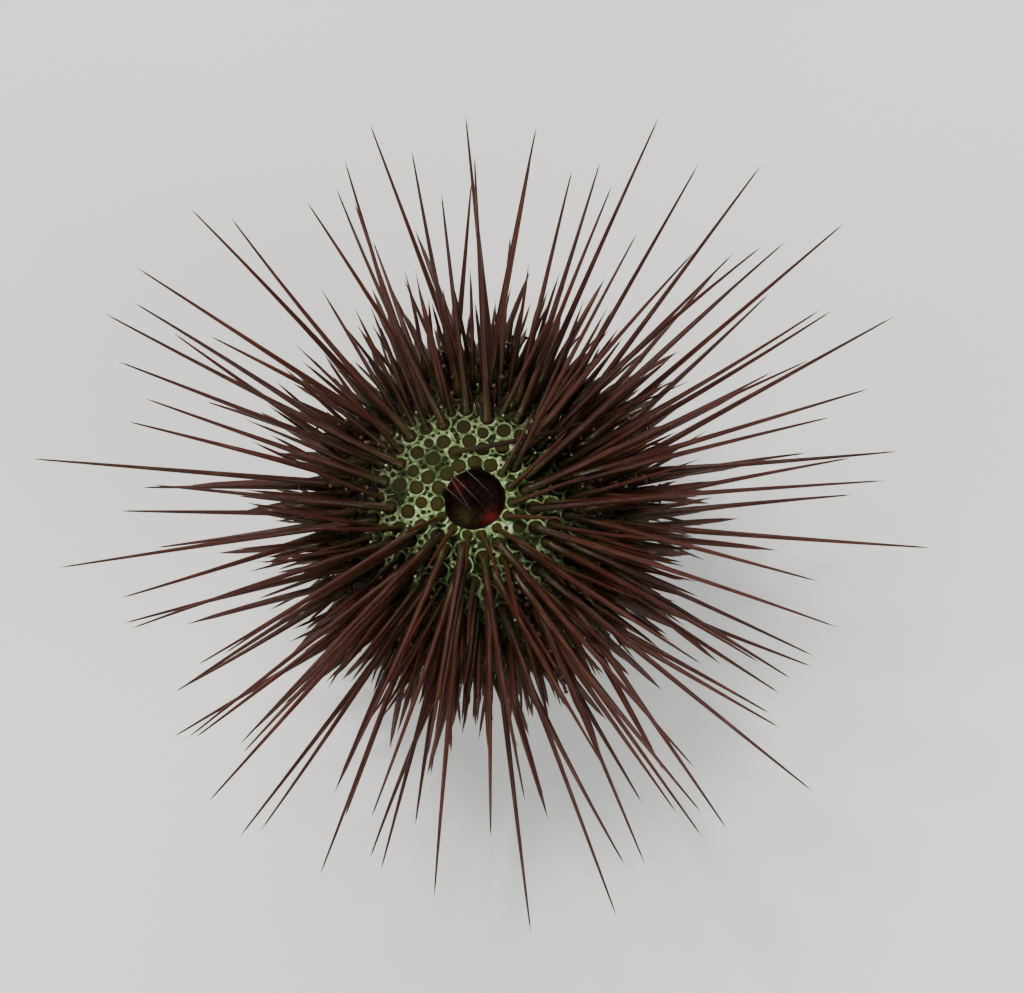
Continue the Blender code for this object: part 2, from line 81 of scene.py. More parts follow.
# Rows and columns of spines. Shares of the way down run from the plate ring at 0 to the mouth at 1.
FIRST_ROW_RADIUS = 4.8 * MM
ROW_STEP_NARROW = 1.45 * MM
ROW_STEP_WIDE = 2.35 * MM
ROW_CROWDING = 1.15  # the steps are narrow again this much before the mouth
COLUMN_PLACE = 0.25  # of a sector's angle, on each side of its middle
COLUMN_STAGGER = 0.5  # of a row's step
COLUMN_ZIGZAG = 0.06  # of a sector's angle, by which a column's spines stand off it to both sides in turn
SMALL_STAGGER = 0.75
SMALL_SPINES_START = 0.3
SMALL_SPINES_END = 0.9
RING_SPINE_PLACE = 0.26  # of a genital plate's angle, on each side of its middle
BARE_CROWN_RADIUS = 7.3 * MM  # nearer the middle than this, on these bearings, bases carry no long spine
BARE_CROWN_BEARINGS = (math.radians(52), math.radians(192))

# Spines. The tables run from the plate ring at 0 down to the mouth at 1, in millimetres or degrees.
LENGTH_MM = (
    (0.0, 31.5), (0.15, 32.5), (0.28, 30.0), (0.38, 22.0), (0.47, 13.0), (0.56, 9.0), (0.75, 7.5), (1.0, 6.0)
)
LEAN_DEG = ((0.0, 44.0), (0.2, 42.0), (0.33, 24.0), (0.45, 16.0), (0.6, 14.0), (0.8, 6.0), (1.0, -12.0))
BASE_RADIUS_MM = ((0.0, 0.43), (0.4, 0.45), (0.6, 0.48), (1.0, 0.42))
REACH_BY_BEARING = (  # every 30 degrees from +X
    1.08, 1.04, 0.94, 0.86, 0.90, 0.90, 0.95, 0.95, 0.98, 0.99, 1.05, 1.05
)
LONG_SPINES_END = 0.45
LONG_SPINES_PLAY = (0.74, 1.05)
SHORT_SPINES_PLAY = (0.88, 1.08)
SMALL_SPINES_PLAY = (0.8, 1.15)
STANDING_SPINES_START = 0.76
NECK_SHARE = 0.8  # along a spine, where its shaft gives way to the point
NECK_RADIUS = 0.26 * MM
BLUNT_RADIUS = 0.1 * MM
SMALL_RADIUS = 0.29 * MM
SMALL_LENGTH = 5.0 * MM
CLEARANCE = 0.34 * MM
FLOOR_CLEARANCE = 0.5 * MM
TILT_PLAY = math.radians(9)
BEARING_PLAY = math.radians(15)
MOST_TRIES = 80
CHOICES = 20  # clear ways that are weighed for a spine, of which it takes the one with the most room round it
FAN_REACH = 17.0 * MM  # how far out along the spines that room is measured
FAN_FLATNESS = 0.35  # weight of height against plan in it, because the fan has to look even from above
LEAST_CROSS = 1e-18  # in place of none, where two spines are parallel
SEED = 1863


def read_table(table, share):
    """Straight-line reading of a table of (share, value) pairs."""
    shares, values = zip(*table)
    return float(np.interp(share, shares, values))


class Meridian:
    """The shell's outline from the top of its axis to the rim of the mouth, measured along its length."""

    def __init__(self):
        ambitus = TEST_HEIGHT * AMBITUS_SHARE
        rim_angle = math.acos(MOUTH_RADIUS / TEST_RADIUS)
        below = ambitus / math.sin(rim_angle)
        above = TEST_HEIGHT - ambitus
        power = 2 / TOP_SQUARENESS
        radii, heights = [], []
        for angle in np.linspace(math.pi / 2, -rim_angle, MERIDIAN_SAMPLES):
            if angle >= 0:
                radii.append(TEST_RADIUS * max(math.cos(angle), 0.0) ** power)
                heights.append(ambitus + above * math.sin(angle) ** power)
            else:
                radii.append(TEST_RADIUS * math.cos(angle))
                heights.append(ambitus - below * math.sin(-angle))
        self.radii = np.array(radii)
        self.heights = np.array(heights) + STANDING_HEIGHT
        steps = np.hypot(np.diff(self.radii), np.diff(self.heights))
        self.lengths = np.concatenate([[0.0], np.cumsum(steps)])

    def point(self, length):
        """Radius and height of the outline at a length down it."""
        return (
            float(np.interp(length, self.lengths, self.radii)),
            float(np.interp(length, self.lengths, self.heights)),
        )

    def normal_tilt(self, length):
        """Angle of the outward normal from straight up."""
        r0, z0 = self.point(length - SLOPE_REACH)
        r1, z1 = self.point(length + SLOPE_REACH)
        return math.atan2(z0 - z1, r1 - r0)

    def length_at_radius(self, radius):
        """Length down to this radius, on the top of the shell."""
        top = self.heights > self.heights[-1] + TEST_HEIGHT * AMBITUS_SHARE
        return float(np.interp(radius, self.radii[top], self.lengths[top]))


MERIDIAN = Meridian()


def bearing(azimuth, tilt):
    """Unit vector that leans by tilt from straight up, towards azimuth."""
    return Vector((math.sin(tilt) * math.cos(azimuth), math.sin(tilt) * math.sin(azimuth), math.cos(tilt)))


def sectors():
    """(name, middle azimuth, angle) of the ten wedges of the shell."""
    for k in range(SECTORS):
        middle = FIRST_AMBULACRUM + k * 2 * math.pi / SECTORS
        yield f"ambulacrum_{k + 1}", middle, AMBULACRUM_ANGLE
        yield f"interambulacrum_{k + 1}", middle + math.pi / SECTORS, INTERAMBULACRUM_ANGLE


def row_lengths():
    """Lengths down the meridian of the rows of spines, closer together at both ends."""
    start = MERIDIAN.length_at_radius(FIRST_ROW_RADIUS)
    end = MERIDIAN.lengths[-1] - ROW_STEP_NARROW / 2
    rows = [start]
    while True:
        share = (rows[-1] - start) / (end - start)
        widening = math.sin(math.pi * min(share * ROW_CROWDING, 1.0))
        step = ROW_STEP_NARROW + (ROW_STEP_WIDE - ROW_STEP_NARROW) * widening
        if rows[-1] + step > end:
            return rows, start, end
        rows.append(rows[-1] + step)


def spine_sites():
    """Where each spine grows: node, kind, length down the meridian, share of the way, and azimuth.

    Two staggered columns of full spines run down each sector, with small ones between them, and the plate
    ring carries a few of its own.
    """
    rows, start, end = row_lengths()
    found = []
    for name, middle, angle in sectors():
        for side in (-1, 1) if name.startswith("inter") else (0,):
            azimuth = middle + side * GENITAL_ANGLE * RING_SPINE_PLACE
            found.append(("apical_plates", "ring", 0.0, 0.0, azimuth))
    for number, length in enumerate(rows):
        step = (rows[number + 1] - length) if number + 1 < len(rows) else ROW_STEP_NARROW
        for name, middle, angle in sectors():
            for column in (-1, 1):
                down = length + (step * COLUMN_STAGGER if column > 0 else 0)
                if down < end:
                    azimuth = middle + column * angle * COLUMN_PLACE
                    azimuth += angle * COLUMN_ZIGZAG * (1 if number % 2 else -1)
                    found.append((name, "full", down, (down - start) / (end - start), azimuth))
            down = length + step * SMALL_STAGGER
            share = (down - start) / (end - start)
            if SMALL_SPINES_START < share < SMALL_SPINES_END:
                found.append((name, "small", down, share, middle))
    return found


def gaps_to(start, end, starts, ends):
    """Closest distance from one segment to many, and how far along each the closest points are."""
    d1 = end - start
    d2 = ends - starts
    r = start - starts
    a = d1 @ d1
    e = (d2 * d2).sum(1)
    f = (d2 * r).sum(1)
    c = r @ d1
    b = d2 @ d1
    across = np.maximum(a * e - b * b, LEAST_CROSS)
    s = np.clip((b * f - c * e) / across, 0, 1)
    t = np.clip((b * s + f) / e, 0, 1)
    s = np.clip((b * t - c) / a, 0, 1)
    apart = r + np.outer(s, d1) - d2 * t[:, None]
    return np.sqrt((apart * apart).sum(1)), s, t


def thickness(share, radius):
    """Radius of a spine at a share of its length, for one spine or for an array of them."""
    neck = np.minimum(radius, NECK_RADIUS)
    shaft = radius + (neck - radius) * share / NECK_SHARE
    point = neck + (BLUNT_RADIUS - neck) * (share - NECK_SHARE) / (1 - NECK_SHARE)
    return np.where(share < NECK_SHARE, shaft, point)


def reach_towards(aim):
    """How far the long spines on this bearing reach, against the usual."""
    turn = aim / (2 * math.pi) % 1 * len(REACH_BY_BEARING)
    return float(np.interp(turn, range(len(REACH_BY_BEARING) + 1), REACH_BY_BEARING + REACH_BY_BEARING[:1]))


def proposed_spine(site, draw):
    """One spine at a site, leaning from the normal by its place on the shell, with a little play."""
    _, kind, down, share, azimuth = site
    if kind == "ring":
        radius, height = (ANAL_RADIUS + SEAM_GAP + PLATE_RING_RADIUS) / 2, top_height()
        down = MERIDIAN.length_at_radius(radius)
        tilt = RING_SPINE_TILT
    else:
        radius, height = MERIDIAN.point(down)
        tilt = MERIDIAN.normal_tilt(down) + math.radians(read_table(LEAN_DEG, share))
    base = Vector((radius * math.cos(azimuth), radius * math.sin(azimuth), height))
    aim = azimuth + draw.uniform(-1, 1) * BEARING_PLAY
    way = bearing(aim, tilt + draw.uniform(-1, 1) * TILT_PLAY)
    thick = SMALL_RADIUS
    if kind == "ring":
        length = RING_SPINE_LENGTH * draw.uniform(*SMALL_SPINES_PLAY)
    elif kind == "small":
        length = SMALL_LENGTH * draw.uniform(*SMALL_SPINES_PLAY)
    else:
        thick = read_table(BASE_RADIUS_MM, share) * MM
        play = LONG_SPINES_PLAY if share < LONG_SPINES_END else SHORT_SPINES_PLAY
        length = read_table(LENGTH_MM, share) * draw.uniform(*play) * MM
    if share < LONG_SPINES_END and kind == "full":
        length *= reach_towards(aim)
    if kind == "full" and share > STANDING_SPINES_START:
        length = base.z / -way.z + FLOOR_CLEARANCE
    elif way.z < 0:
        length = min(length, (base.z - FLOOR_CLEARANCE) / -way.z)
    return {
        "kind": kind, "share": share, "down": down, "azimuth": azimuth,
        "base": base, "way": way, "length": length, "radius": thick,
    }


def on_bare_crown(spine):
    """Whether a spine stands where the photograph shows only bases."""
    start, end = BARE_CROWN_BEARINGS
    base = spine["base"]
    return base.xy.length < BARE_CROWN_RADIUS and start < math.atan2(base.y, base.x) % (2 * math.pi) < end


def fan_point(spine):
    """A point some way out along a spine, on a flattened scale of heights."""
    point = spine["base"] + spine["way"] * FAN_REACH
    return np.array((point.x, point.y, point.z * FAN_FLATNESS))


def settled_spines():
    """Every spine, turned clear of those set before it and as far from them as its choices allow.

    One that never clears is left out.
    """
    draw = random.Random(SEED)
    kept, starts, ends, radii, fan = [], [], [], [], []
    for site in spine_sites():
        best, most_room, choices = None, -1.0, 0
        for _ in range(MOST_TRIES):
            spine = proposed_spine(site, draw)
            start = np.array(spine["base"])
            end = start + np.array(spine["way"]) * spine["length"]
            if starts:
                apart, along, others_along = gaps_to(start, end, np.array(starts), np.array(ends))
                both = thickness(along, spine["radius"]) + thickness(others_along, np.array(radii))
                if (apart < both + CLEARANCE).any():
                    continue
            room = np.linalg.norm(np.array(fan) - fan_point(spine), axis=1).min() if fan else 0.0
            if room > most_room:
                best, most_room, best_end = spine, room, end
            choices += 1
            if choices == CHOICES:
                break
        if best:
            kept.append(best)
            starts.append(np.array(best["base"]))
            ends.append(best_end)
            radii.append(best["radius"])
            fan.append(fan_point(best))
    for spine in kept:
        if on_bare_crown(spine):
            spine["kind"] = "bare"
    return kept


def top_height():
    """Height of the shell at the edge of the plate ring."""
    return MERIDIAN.point(MERIDIAN.length_at_radius(PLATE_RING_RADIUS))[1]


AXIS = sum(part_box("anal_field"), Vector()) / 2
AXIS.z = 0.0
TOP = top_height()
MOUTH_LEVEL = float(MERIDIAN.heights[-1])
AMBULACRA = list(sectors())[::2]
INTERAMBULACRA = list(sectors())[1::2]

# Skin
SKIN_STEPS = 480  # round the axis
CROWN_RING_STEP = 0.064 * MM
CROWN_END = 8.8 * MM  # radius to which the rings stay that close
SIDE_RINGS = 104
CRUST = 0.14 * MM  # from the edge of the hole at the top to the first ring of the crown
# The wall behind the skin: out and up from the rim of the mouth, then from the rim of the hole at the top
WALL_FROM_MOUTH_MM = ((-0.1, -0.05), (-0.24, 0.3), (-0.24, 4.0))
WALL_FROM_TOP_MM = ((3.26, -5.0), (0.06, -3.0), (0.06, -0.45), (0.06, -0.1), (0.09, -0.02))

# Relief of the skin
LACE_RISE = 0.12 * MM
COLLAR_SLOPE = 0.06 * MM  # from a disc's edge, over which the collar round it rises
COLLAR = (0.16 * MM, 0.30 * MM)  # from a disc's edge, where the fall to the web starts and ends
WEB_RISE = 0.45  # of the lace's own rise, between the collars
PIT_DEPTH = 0.16 * MM
PIT_SLOPE = 0.04 * MM  # to each side of a pit's edge
DISC_DOME = 0.05 * MM
PLATE_RISE = 0.14 * MM
PLATES_MM = (2.9, 3.1, 3.85, 4.2)  # radii between which the ten plates rise, and between which they fall
PLATE_SLOPE = math.radians(5)
UPPER_SIDE = 0.99  # of the shell's radius, to which its upper side is read
FARTHEST = 2.0  # millimetres, past which the skin's layers tell no distance from another
WOBBLE = 0.07 * MM  # of the edges of discs and pits, so that none is quite round
WOBBLES_PER_METRE = 800
WOBBLE_SEED = 7
PALENESS = (  # of the lace, by millimetres from the axis
    (0.0, 1.0), (4.6, 1.0), (6.0, 0.72), (8.0, 0.42), (9.6, 0.18), (11.5, 0.06), (15.0, 0.02)
)

# Bases on the skin: discs that spines grow on, and pits in the lace between them
LONG_DISC = 0.66 * MM
SMALL_DISC = 0.48 * MM
CROWN_DISC = (0.55 * MM, 0.72 * MM)
LEAST_CROWN_DISC = 0.42 * MM
SIDE_DISC = (0.38 * MM, 0.56 * MM)
LEAST_SIDE_DISC = 0.3 * MM
LACE_WIDTH = 0.29 * MM  # the least between two discs
PIT = (0.14 * MM, 0.27 * MM)
LEAST_PIT = 0.09 * MM
PIT_LACE_WIDTH = 0.19 * MM
CROWN_SITES = 26000  # places on the crown that discs and pits choose from
SIDE_SITES = 26000
BASES_SEED = 72
CROWD_REACH = 2.4 * MM  # down the skin to each side of a disc, within which others mind it
RELIEF_REACH = 1.5 * MM  # the same, within which it shapes the skin
FAR = 1.0  # a distance that stands for none
MERGE = 0.001 * MM

# Profiles of the spines. A foot has its heights over the skin in millimetres, and a shaft has shares of the
# rest of the spine. Both have radii as shares of the radius at the base.
NEEDLE_FOOT = ((-0.3, 1.42), (0.05, 1.38), (0.24, 1.12), (0.44, 0.82), (0.6, 1.06), (0.9, 0.96))
NEEDLE_SHAFT = (
    (0.12, 0.85), (0.26, 0.72), (0.42, 0.6), (0.58, 0.49), (0.73, 0.39), (0.86, 0.29), (0.96, 0.18),
    (1.0, 0.0),
)
STOUT_SHAFT = ((0.25, 0.86), (0.55, 0.72), (0.8, 0.5), (1.0, 0.0))
SMALL_FOOT = ((-0.15, 1.6), (0.0, 1.6), (0.15, 0.95), (0.28, 1.15))
SMALL_SHAFT = ((0.25, 0.9), (0.6, 0.62), (0.86, 0.34), (1.0, 0.0))
SLENDERNESS = 0.9  # of the solids' base radius
NEEDLE_SIDES = 12
STOUT_SIDES = 8
TOOTH_SIDES = 12
SMALL_SIDES = 8
TINY_SIDES = 6
CREST_RISE = 0.06  # of the radius, by which the ridges along a spine stand out at its base
CREST_FADE = 0.7  # of it that is lost by the tip
ROOT_TINT_START = 0.05  # of a spine's length
ROOT_TINT_END = (4.2 * MM, 0.5)  # up a long spine, and as a share of the length of a short one
FULL_COLOUR_LENGTH = 15 * MM  # of a spine that reddens towards its tip as much as any
GRAIN_STRETCH = 0.1  # along a spine, by the millimetre
GRAIN_SPREAD = 90  # sets the grain of each spine apart from the others'
MEAN_SHADE = 0.5  # of the spines' own shades, which run from 0 to 1
MOST_BOW = 0.014  # of a spine's length
BOW_TURNS = (999, 777, 0.3)  # the first two turn a bow's small number into a way that looks like chance
STEEP = 0.9  # upward part of a way, past which a ring is set out from +X and not from +Z
UV_PATCH = 0.003
UNWRAP_REACH = 0.46  # of the unwrapped skin's square, from its middle to the mouth

# Spines that only the looks have, on the discs between: by the share of the way down, in millimetres
FILL_LENGTH_MM = (
    (0.0, 9.0), (0.1, 13.0), (0.2, 16.5), (0.35, 15.0), (0.45, 10.5), (0.6, 6.5), (0.8, 4.2), (1.0, 3.0)
)
FILL_PLAY = (0.7, 1.25)
FILL_RADIUS_MM = ((0.0, 0.27), (0.3, 0.29), (0.5, 0.25), (0.7, 0.21), (1.0, 0.19))
FILL_TILT_PLAY = math.radians(12)
FILL_BEARING_PLAY = math.radians(16)
FILL_LEAN = 0.9  # of the main spines' lean
FILL_TAPER = 0.8  # of the solids' thickness, for their slimmer shafts
FILL_BOW = 1.5  # of the main spines' bow
FILL_TRIES = 14
FILL_REACH = (18.0 * MM, 22.5 * MM)  # of their tips from the axis, because only the main spines pass it
FILL_FLOOR_GAP = 0.2 * MM
FILL_CLEARANCE = 0.05 * MM
FILL_SEED = 19
OPEN_CROWN_RADIUS = 6.3 * MM  # nearer the middle than this, the discs between carry no spine
BARE_MARGIN = math.radians(6)
LEAST_FILL_LENGTH = 1.6 * MM
FILL_SHORTENING = 0.8  # of its length, which is left for the next try where it had no room

# Spinelets over the anal field: (radius of the root, its bearing, the lean's bearing, length), mm and degrees
FIELD_SPINELETS = ((3.11, 132, -47, 4.9), (3.11, 109, -45, 4.2), (3.07, 157, -43, 3.0), (3.10, 137, -60, 4.8))
SPINELET_RADIUS = 0.065 * MM
SPINELET_TIP_RISE = 0.275 * MM
SPINELET_BEND_RISE = 0.88 * MM
SPINELET_BEND = 0.28  # of the way to its tip, where it turns over

# The stray spine that leans right across the crown
STRAY_ROOT = Vector((-2.3, 5.0, 0.0)) * MM
STRAY_TIP = Vector((19.8, 9.2, 0.0)) * MM
STRAY_HEIGHTS_MM = (2.5, 9.0)  # of its tip over the top of the skin, between which it takes the clearest
STRAY_TRIES = 20
STRAY_BOW = 0.037
STRAY_RADIUS = 0.3 * MM
STRAY_SHADE = 1.8  # darker than any other spine's, which run from 0 to 1

# Small growths of the skin. Their shapes run from the root at 0 to about 1 at the tip, with radii as shares
# of the growth's own.
LEANING = 1.6  # a growth has all of its lean at the length over this
MOST_LEAN = 0.7  # of the way from the skin's normal to its own way
SWAY_TURN = 7  # radians of sway from its root to its tip
LEAST_SINE = 0.05  # between the normal and its way, under which any way to the side will do
FEET_STEP = 1.0 * MM
FEET_SPAN = (0.16, 0.97)  # by the share of the way down
FEET_COLUMN = 0.4  # of an ambulacrum's angle, on each side of its middle
FEET_COLUMN_PLAY = 0.04
FEET_DOWN_PLAY = 0.2 * MM
FEET_LENGTH_MM = ((0.0, 2.0), (0.4, 3.1), (0.7, 3.6), (1.0, 2.6))  # by the share of the way down
FEET_LENGTH_PLAY = (0.7, 1.2)
FEET_TILT_PLAY = (-0.1, 0.45)
FEET_BEARING_PLAY = 0.4
FEET_FLOOR_GAP = 0.4 * MM
FOOT_RADIUS = 0.12 * MM
FOOT_SHAPE = (
    (-0.1, 1.5), (0.06, 1.1), (0.3, 1.0), (0.55, 0.9), (0.8, 0.85), (0.93, 0.9),
    (0.96, 1.9), (1.0, 1.7), (1.01, 0),
)
FOOT_WAVE = 0.07  # of a foot's length
PINCER_SHAPE = ((-0.1, 1.4), (0.1, 1.0), (0.62, 0.8), (0.72, 1.3), (0.8, 2.9), (0.9, 2.7), (1.0, 0))
PINCER_RADIUS = 0.045 * MM
PINCER_LENGTH = (0.9 * MM, 1.7 * MM)
BRISTLE_SHAPE = ((-0.1, 1.5), (0.0, 1.3), (0.15, 1.0), (0.6, 0.7), (1.0, 0))
BRISTLE_RADIUS = 0.06 * MM
BRISTLE_LENGTH = (0.8 * MM, 1.9 * MM)
PINCER_WAVE = 0.05
BRISTLE_WAVE = 0.02
SMALL_BEARING_PLAY = 0.5
SMALL_TILT_PLAY = (-0.5, 0.7)
GROWTHS_SEED = 5
PINCER_SHARE = 0.12  # of the pits of the lace
BRISTLE_SHARE = 0.3
CROWN_BRISTLE_SHARE = 0.1
BRISTLES_START = 5.0 * MM  # from the axis

# Anal field: (radius, height from the top) in millimetres
FIELD_PROFILE_MM = (
    (2.74, -0.06), (2.66, -0.08), (2.52, -0.22), (2.34, -0.55), (2.05, -0.88), (1.6, -1.1), (1.1, -1.16),
    (0.7, -1.06), (0.42, -0.92), (0.24, -1.0), (0.1, -1.25), (0.0, -1.3),
)
FIELD_BACK_MM = 2.2
FIELD_STEPS = 192
FIELD_RINGS = 64
FIELD_PLATE_RINGS = ((0.95, 9), (1.5, 13), (2.05, 17))  # radius in millimetres and number of its plates
FIELD_PLATE_RISE = 0.05 * MM
FIELD_PLATE_RADIUS = 0.34 * MM
FIELD_PLATES_MM = (0.45, 0.7, 2.35, 2.55)  # radii between which the plates rise, and between which they fall
FIELD_FOLDS = 9
FIELD_FOLD_TURN = 0.6
FIELD_FOLD_RISE = 0.05 * MM
FIELD_FOLDS_MM = (0.1, 0.4, 0.45, 0.8)
PLATE_TURN_PLAY = 0.18  # of the angle from one plate to the next
PLATE_RADIUS_PLAY = 0.07
PLATE_SIZE_PLAY = (0.8, 1.15)
# Red patches of the anal field: partly its own red edge and partly painted light on the lit wall of its bowl
RED_AND_LIT_PATCHES = ((2.15, -48, 0.75), (2.2, 140, 0.6))  # radius and bearing of the middle, and the spread, in mm
OLIVE_PATCH = (1.75, -122, 0.85)
OLIVE_SWELLING = 0.45 * MM
OLIVE_EDGE = (2.2 * MM, 2.6 * MM)  # radii over which the swelling ends

# Mouth: (radius, height from the mouth's level) in millimetres
MOUTH_PROFILE_MM = (
    (5.93, 1.0), (5.9, 0.5), (5.7, 0.2), (5.4, 0.0), (4.8, -0.3), (4.1, -0.5), (3.5, -0.48), (3.1, -0.4),
    (2.75, -0.1), (2.5, 0.2), (2.32, 0.5), (2.2, 1.0),
)
MOUTH_BACK_MM = 2.6
LIP_PROFILE_MM = (
    (2.25, 0.8), (2.14, 0.25), (1.85, -0.02), (1.55, -0.16), (1.3, -0.1), (1.0, 0.3), (0.5, 0.9), (0.0, 1.1)
)
MOUTH_STEPS = 240
MOUTH_RINGS = 60
SCALE_RINGS = ((2.9, 22), (3.45, 27), (4.05, 31), (4.65, 36), (5.2, 41))  # as the plate rings of the field
SCALE_RISE = 0.1 * MM
SCALE_RADIUS = 0.34 * MM
SCALES_MM = (2.55, 2.8, 5.5, 5.8)  # radii between which the small plates rise, and between which they fall
MOUTH_FOOT_RING = 4.1 * MM
MOUTH_FEET_APART = 2.0 / 4.1  # radians between the two of a pair
MOUTH_FOOT_LENGTH = 1.3 * MM
MOUTH_FOOT_DROP = 0.4 * MM  # of its root under the mouth's level
MOUTH_FOOT_SLANT = 0.25 * MM
MOUTH_FOOT_RADIUS = 0.33 * MM
MOUTH_FOOT_SHAPE = (
    (-0.2, 1.2), (0.1, 1.1), (0.35, 1.0), (0.6, 0.85), (0.76, 0.9), (0.82, 1.45), (0.93, 1.55), (1.0, 1.25),
    (0.93, 0.6), (0.9, 0),
)
LIP_RINGS = 40
LIP_STEPS = 160
LIP_FOLDS = 20
LIP_FOLD_RISE = 0.06 * MM
LIP_FOLDS_MM = (0.9, 1.3, 1.9, 2.15)
TEETH_RING = 1.0 * MM
TEETH_DROP = 0.5 * MM  # of their middles under the mouth's level
TOOTH_LENGTH = 3.2 * MM
TOOTH_TILT = math.radians(24)
TOOTH_SHAPE = (
    (-0.5, 1.0), (-0.2, 0.98), (0.0, 0.9), (0.15, 0.76), (0.28, 0.58), (0.39, 0.38), (0.46, 0.2), (0.5, 0),
)
TOOTH_RADIUS = 0.42 * MM
TOOTH_WIDTH = 1.3  # of its thickness

# Colours, in linear red, green and blue
# Darker towards the root, partly in the spine's own tone and partly as painted shade near the body
NEEDLE_TONES_AND_SHADE = (  # from the root of a spine at 0 to its tip at 1
    (0.0, (0.026, 0.0085, 0.0030)), (0.15, (0.030, 0.0075, 0.0030)), (0.45, (0.041, 0.0078, 0.0036)),
    (0.75, (0.049, 0.0092, 0.0046)), (0.92, (0.036, 0.0105, 0.0054)), (1.0, (0.014, 0.0070, 0.0042)),
)
NEEDLE_BLOTCH = (0.050, 0.026, 0.009)
NEEDLE_DARK = (0.012, 0.0028, 0.0020)
NEEDLE_ROOT = (0.024, 0.019, 0.0045)
# Pale streaks along the spines: partly their own striations and partly painted highlights
NEEDLE_STREAK_AND_HIGHLIGHT = (0.17, 0.088, 0.048)
# Darker where the bumped grain sinks: painted shade in the grooves
NEEDLE_GROOVE_SHADE = (0.008, 0.0018, 0.0015)
GROUND_DARK = (0.007, 0.0025, 0.0028)
GROUND_BROWN = (0.013, 0.006, 0.004)
# Faint violet specks on the ground between discs: painted glints
GROUND_VIOLET_GLINT = (0.010, 0.008, 0.034)
GROUND_GREEN = (0.012, 0.020, 0.004)
LACE_DEEP = (0.095, 0.135, 0.036)
LACE_PALE = (0.42, 0.54, 0.27)
# Palest spots of the lace: painted highlights
LACE_HIGHLIGHT = (0.48, 0.58, 0.36)
# Dark disc rims at the foot of the collars: partly the discs' own rims and partly painted shade
DISC_EDGE_AND_SHADE = (0.012, 0.015, 0.002)
DISC_OLIVE = (0.028, 0.0175, 0.0028)
DISC_BROWN = (0.009, 0.0045, 0.0028)
HOLE_RIM = (0.006, 0.002, 0.0015)
# Near-black tones of the anal field: partly its own dark colour and partly painted shade of its deep bowl
FIELD_HOLLOW = (0.0032, 0.0010, 0.0008)
FIELD_PLATE = (0.0070, 0.0022, 0.0016)
# Red of the anal field: partly its own and partly painted light on the lit wall of its bowl
FIELD_RED_AND_LIT_WALL = (0.070, 0.006, 0.0045)
FIELD_OLIVE = (0.022, 0.019, 0.005)
BRISTLE_TONES = ((0.085, 0.065, 0.030), (0.30, 0.32, 0.14), (0.30, 0.30, 0.16))  # stalk, end and specks
FOOT_TONES = ((0.022, 0.006, 0.005), (0.045, 0.016, 0.010), (0.06, 0.02, 0.014))
SPINELET_TONES = ((0.030, 0.020, 0.013), (0.065, 0.050, 0.032), (0.08, 0.07, 0.05))
MOUTH_TONES = ((0.016, 0.006, 0.005), (0.060, 0.032, 0.020), (0.13, 0.10, 0.06))  # hollows, tops and specks
LIP_TONES = ((0.030, 0.012, 0.010), (0.11, 0.06, 0.04), (0.16, 0.11, 0.08))
TOOTH_TONES = ((0.0, (0.30, 0.22, 0.13)), (0.55, (0.62, 0.56, 0.44)), (1.0, (0.78, 0.76, 0.68)))
TOOTH_STREAK = (0.33, 0.26, 0.17)
FLOOR_TONE = (0.62, 0.61, 0.58)
SKY_TONE = (0.8, 0.84, 0.88)

# Studio
SKY_STRENGTH = 0.42
FLOOR_REACH = 8.0
LAMPS = (  # name, the way to it, how wide it looks in radians, its light on what faces it, and its colour
    ("key", (-0.32, 0.44, 0.84), 0.22, 4.3, (1.0, 0.98, 0.95)),
    ("fill", (0.78, -0.48, 0.5), 0.58, 2.4, (0.95, 0.98, 1.0)),
    ("back", (0.15, 0.9, 0.36), 0.5, 1.7, (1.0, 1.0, 1.0)),
    ("side", (-0.85, -0.3, 0.36), 0.5, 1.7, (1.0, 1.0, 1.0)),
    ("front", (-0.12, -0.92, 0.34), 0.6, 1.5, (1.0, 1.0, 1.0)),
)
LAMP_TARGET = Vector((0, 0, 0.02))
LAMP_UP = Vector((0, 1, 0.01))
CAMERA_TILT = math.radians(14)
CAMERA_BEARING = math.radians(17)
CAMERA_TARGET_HEIGHT = 20 * MM
CAMERA_DISTANCE = 200 * MM
CAMERA_NEAR = 10 * MM
LENS = 76.4
IMAGE_WIDTH = 1024
SHIFT = (37 / IMAGE_WIDTH, 3.5 / IMAGE_WIDTH)


def fade(values, low, high):
    """Smooth step from 0 at low to 1 at high."""
    share = np.clip((values - low) / (high - low), 0.0, 1.0)
    return share * share * (3 - 2 * share)


def band(values, edges):
    """Rises smoothly from 0 to 1 between the first two edges, and falls back between the last two."""
    return fade(values, *edges[:2]) * (1 - fade(values, *edges[2:]))


def surface(down, azimuth):
    """Point of the skin at a length down the meridian and an azimuth."""
    radius, height = MERIDIAN.point(down)
    return Vector((radius * math.cos(azimuth), radius * math.sin(azimuth), height))


def normal_at(down, azimuth):
    """The skin's outward normal at that point."""
    return bearing(azimuth, MERIDIAN.normal_tilt(down))


def unwrapped(down, azimuth):
    """Place on an unwrap of the skin: the top in the middle, the mouth round the edge."""
    reach = UNWRAP_REACH * down / MERIDIAN.lengths[-1]
    return 0.5 + reach * math.cos(azimuth), 0.5 + reach * math.sin(azimuth)


def close_to(base, downs, reach):
    """The stretch of a sorted list of lengths down the skin that lies within reach of a base's."""
    return slice(*np.searchsorted(downs, (base["down"] - reach, base["down"] + reach)))


def keep_nearer(nearest, second, part, gap):
    """Takes gaps to one more disc into the gaps to the nearest disc and to the second nearest."""
    second[part] = np.minimum(second[part], np.maximum(nearest[part], gap))
    nearest[part] = np.minimum(nearest[part], gap)


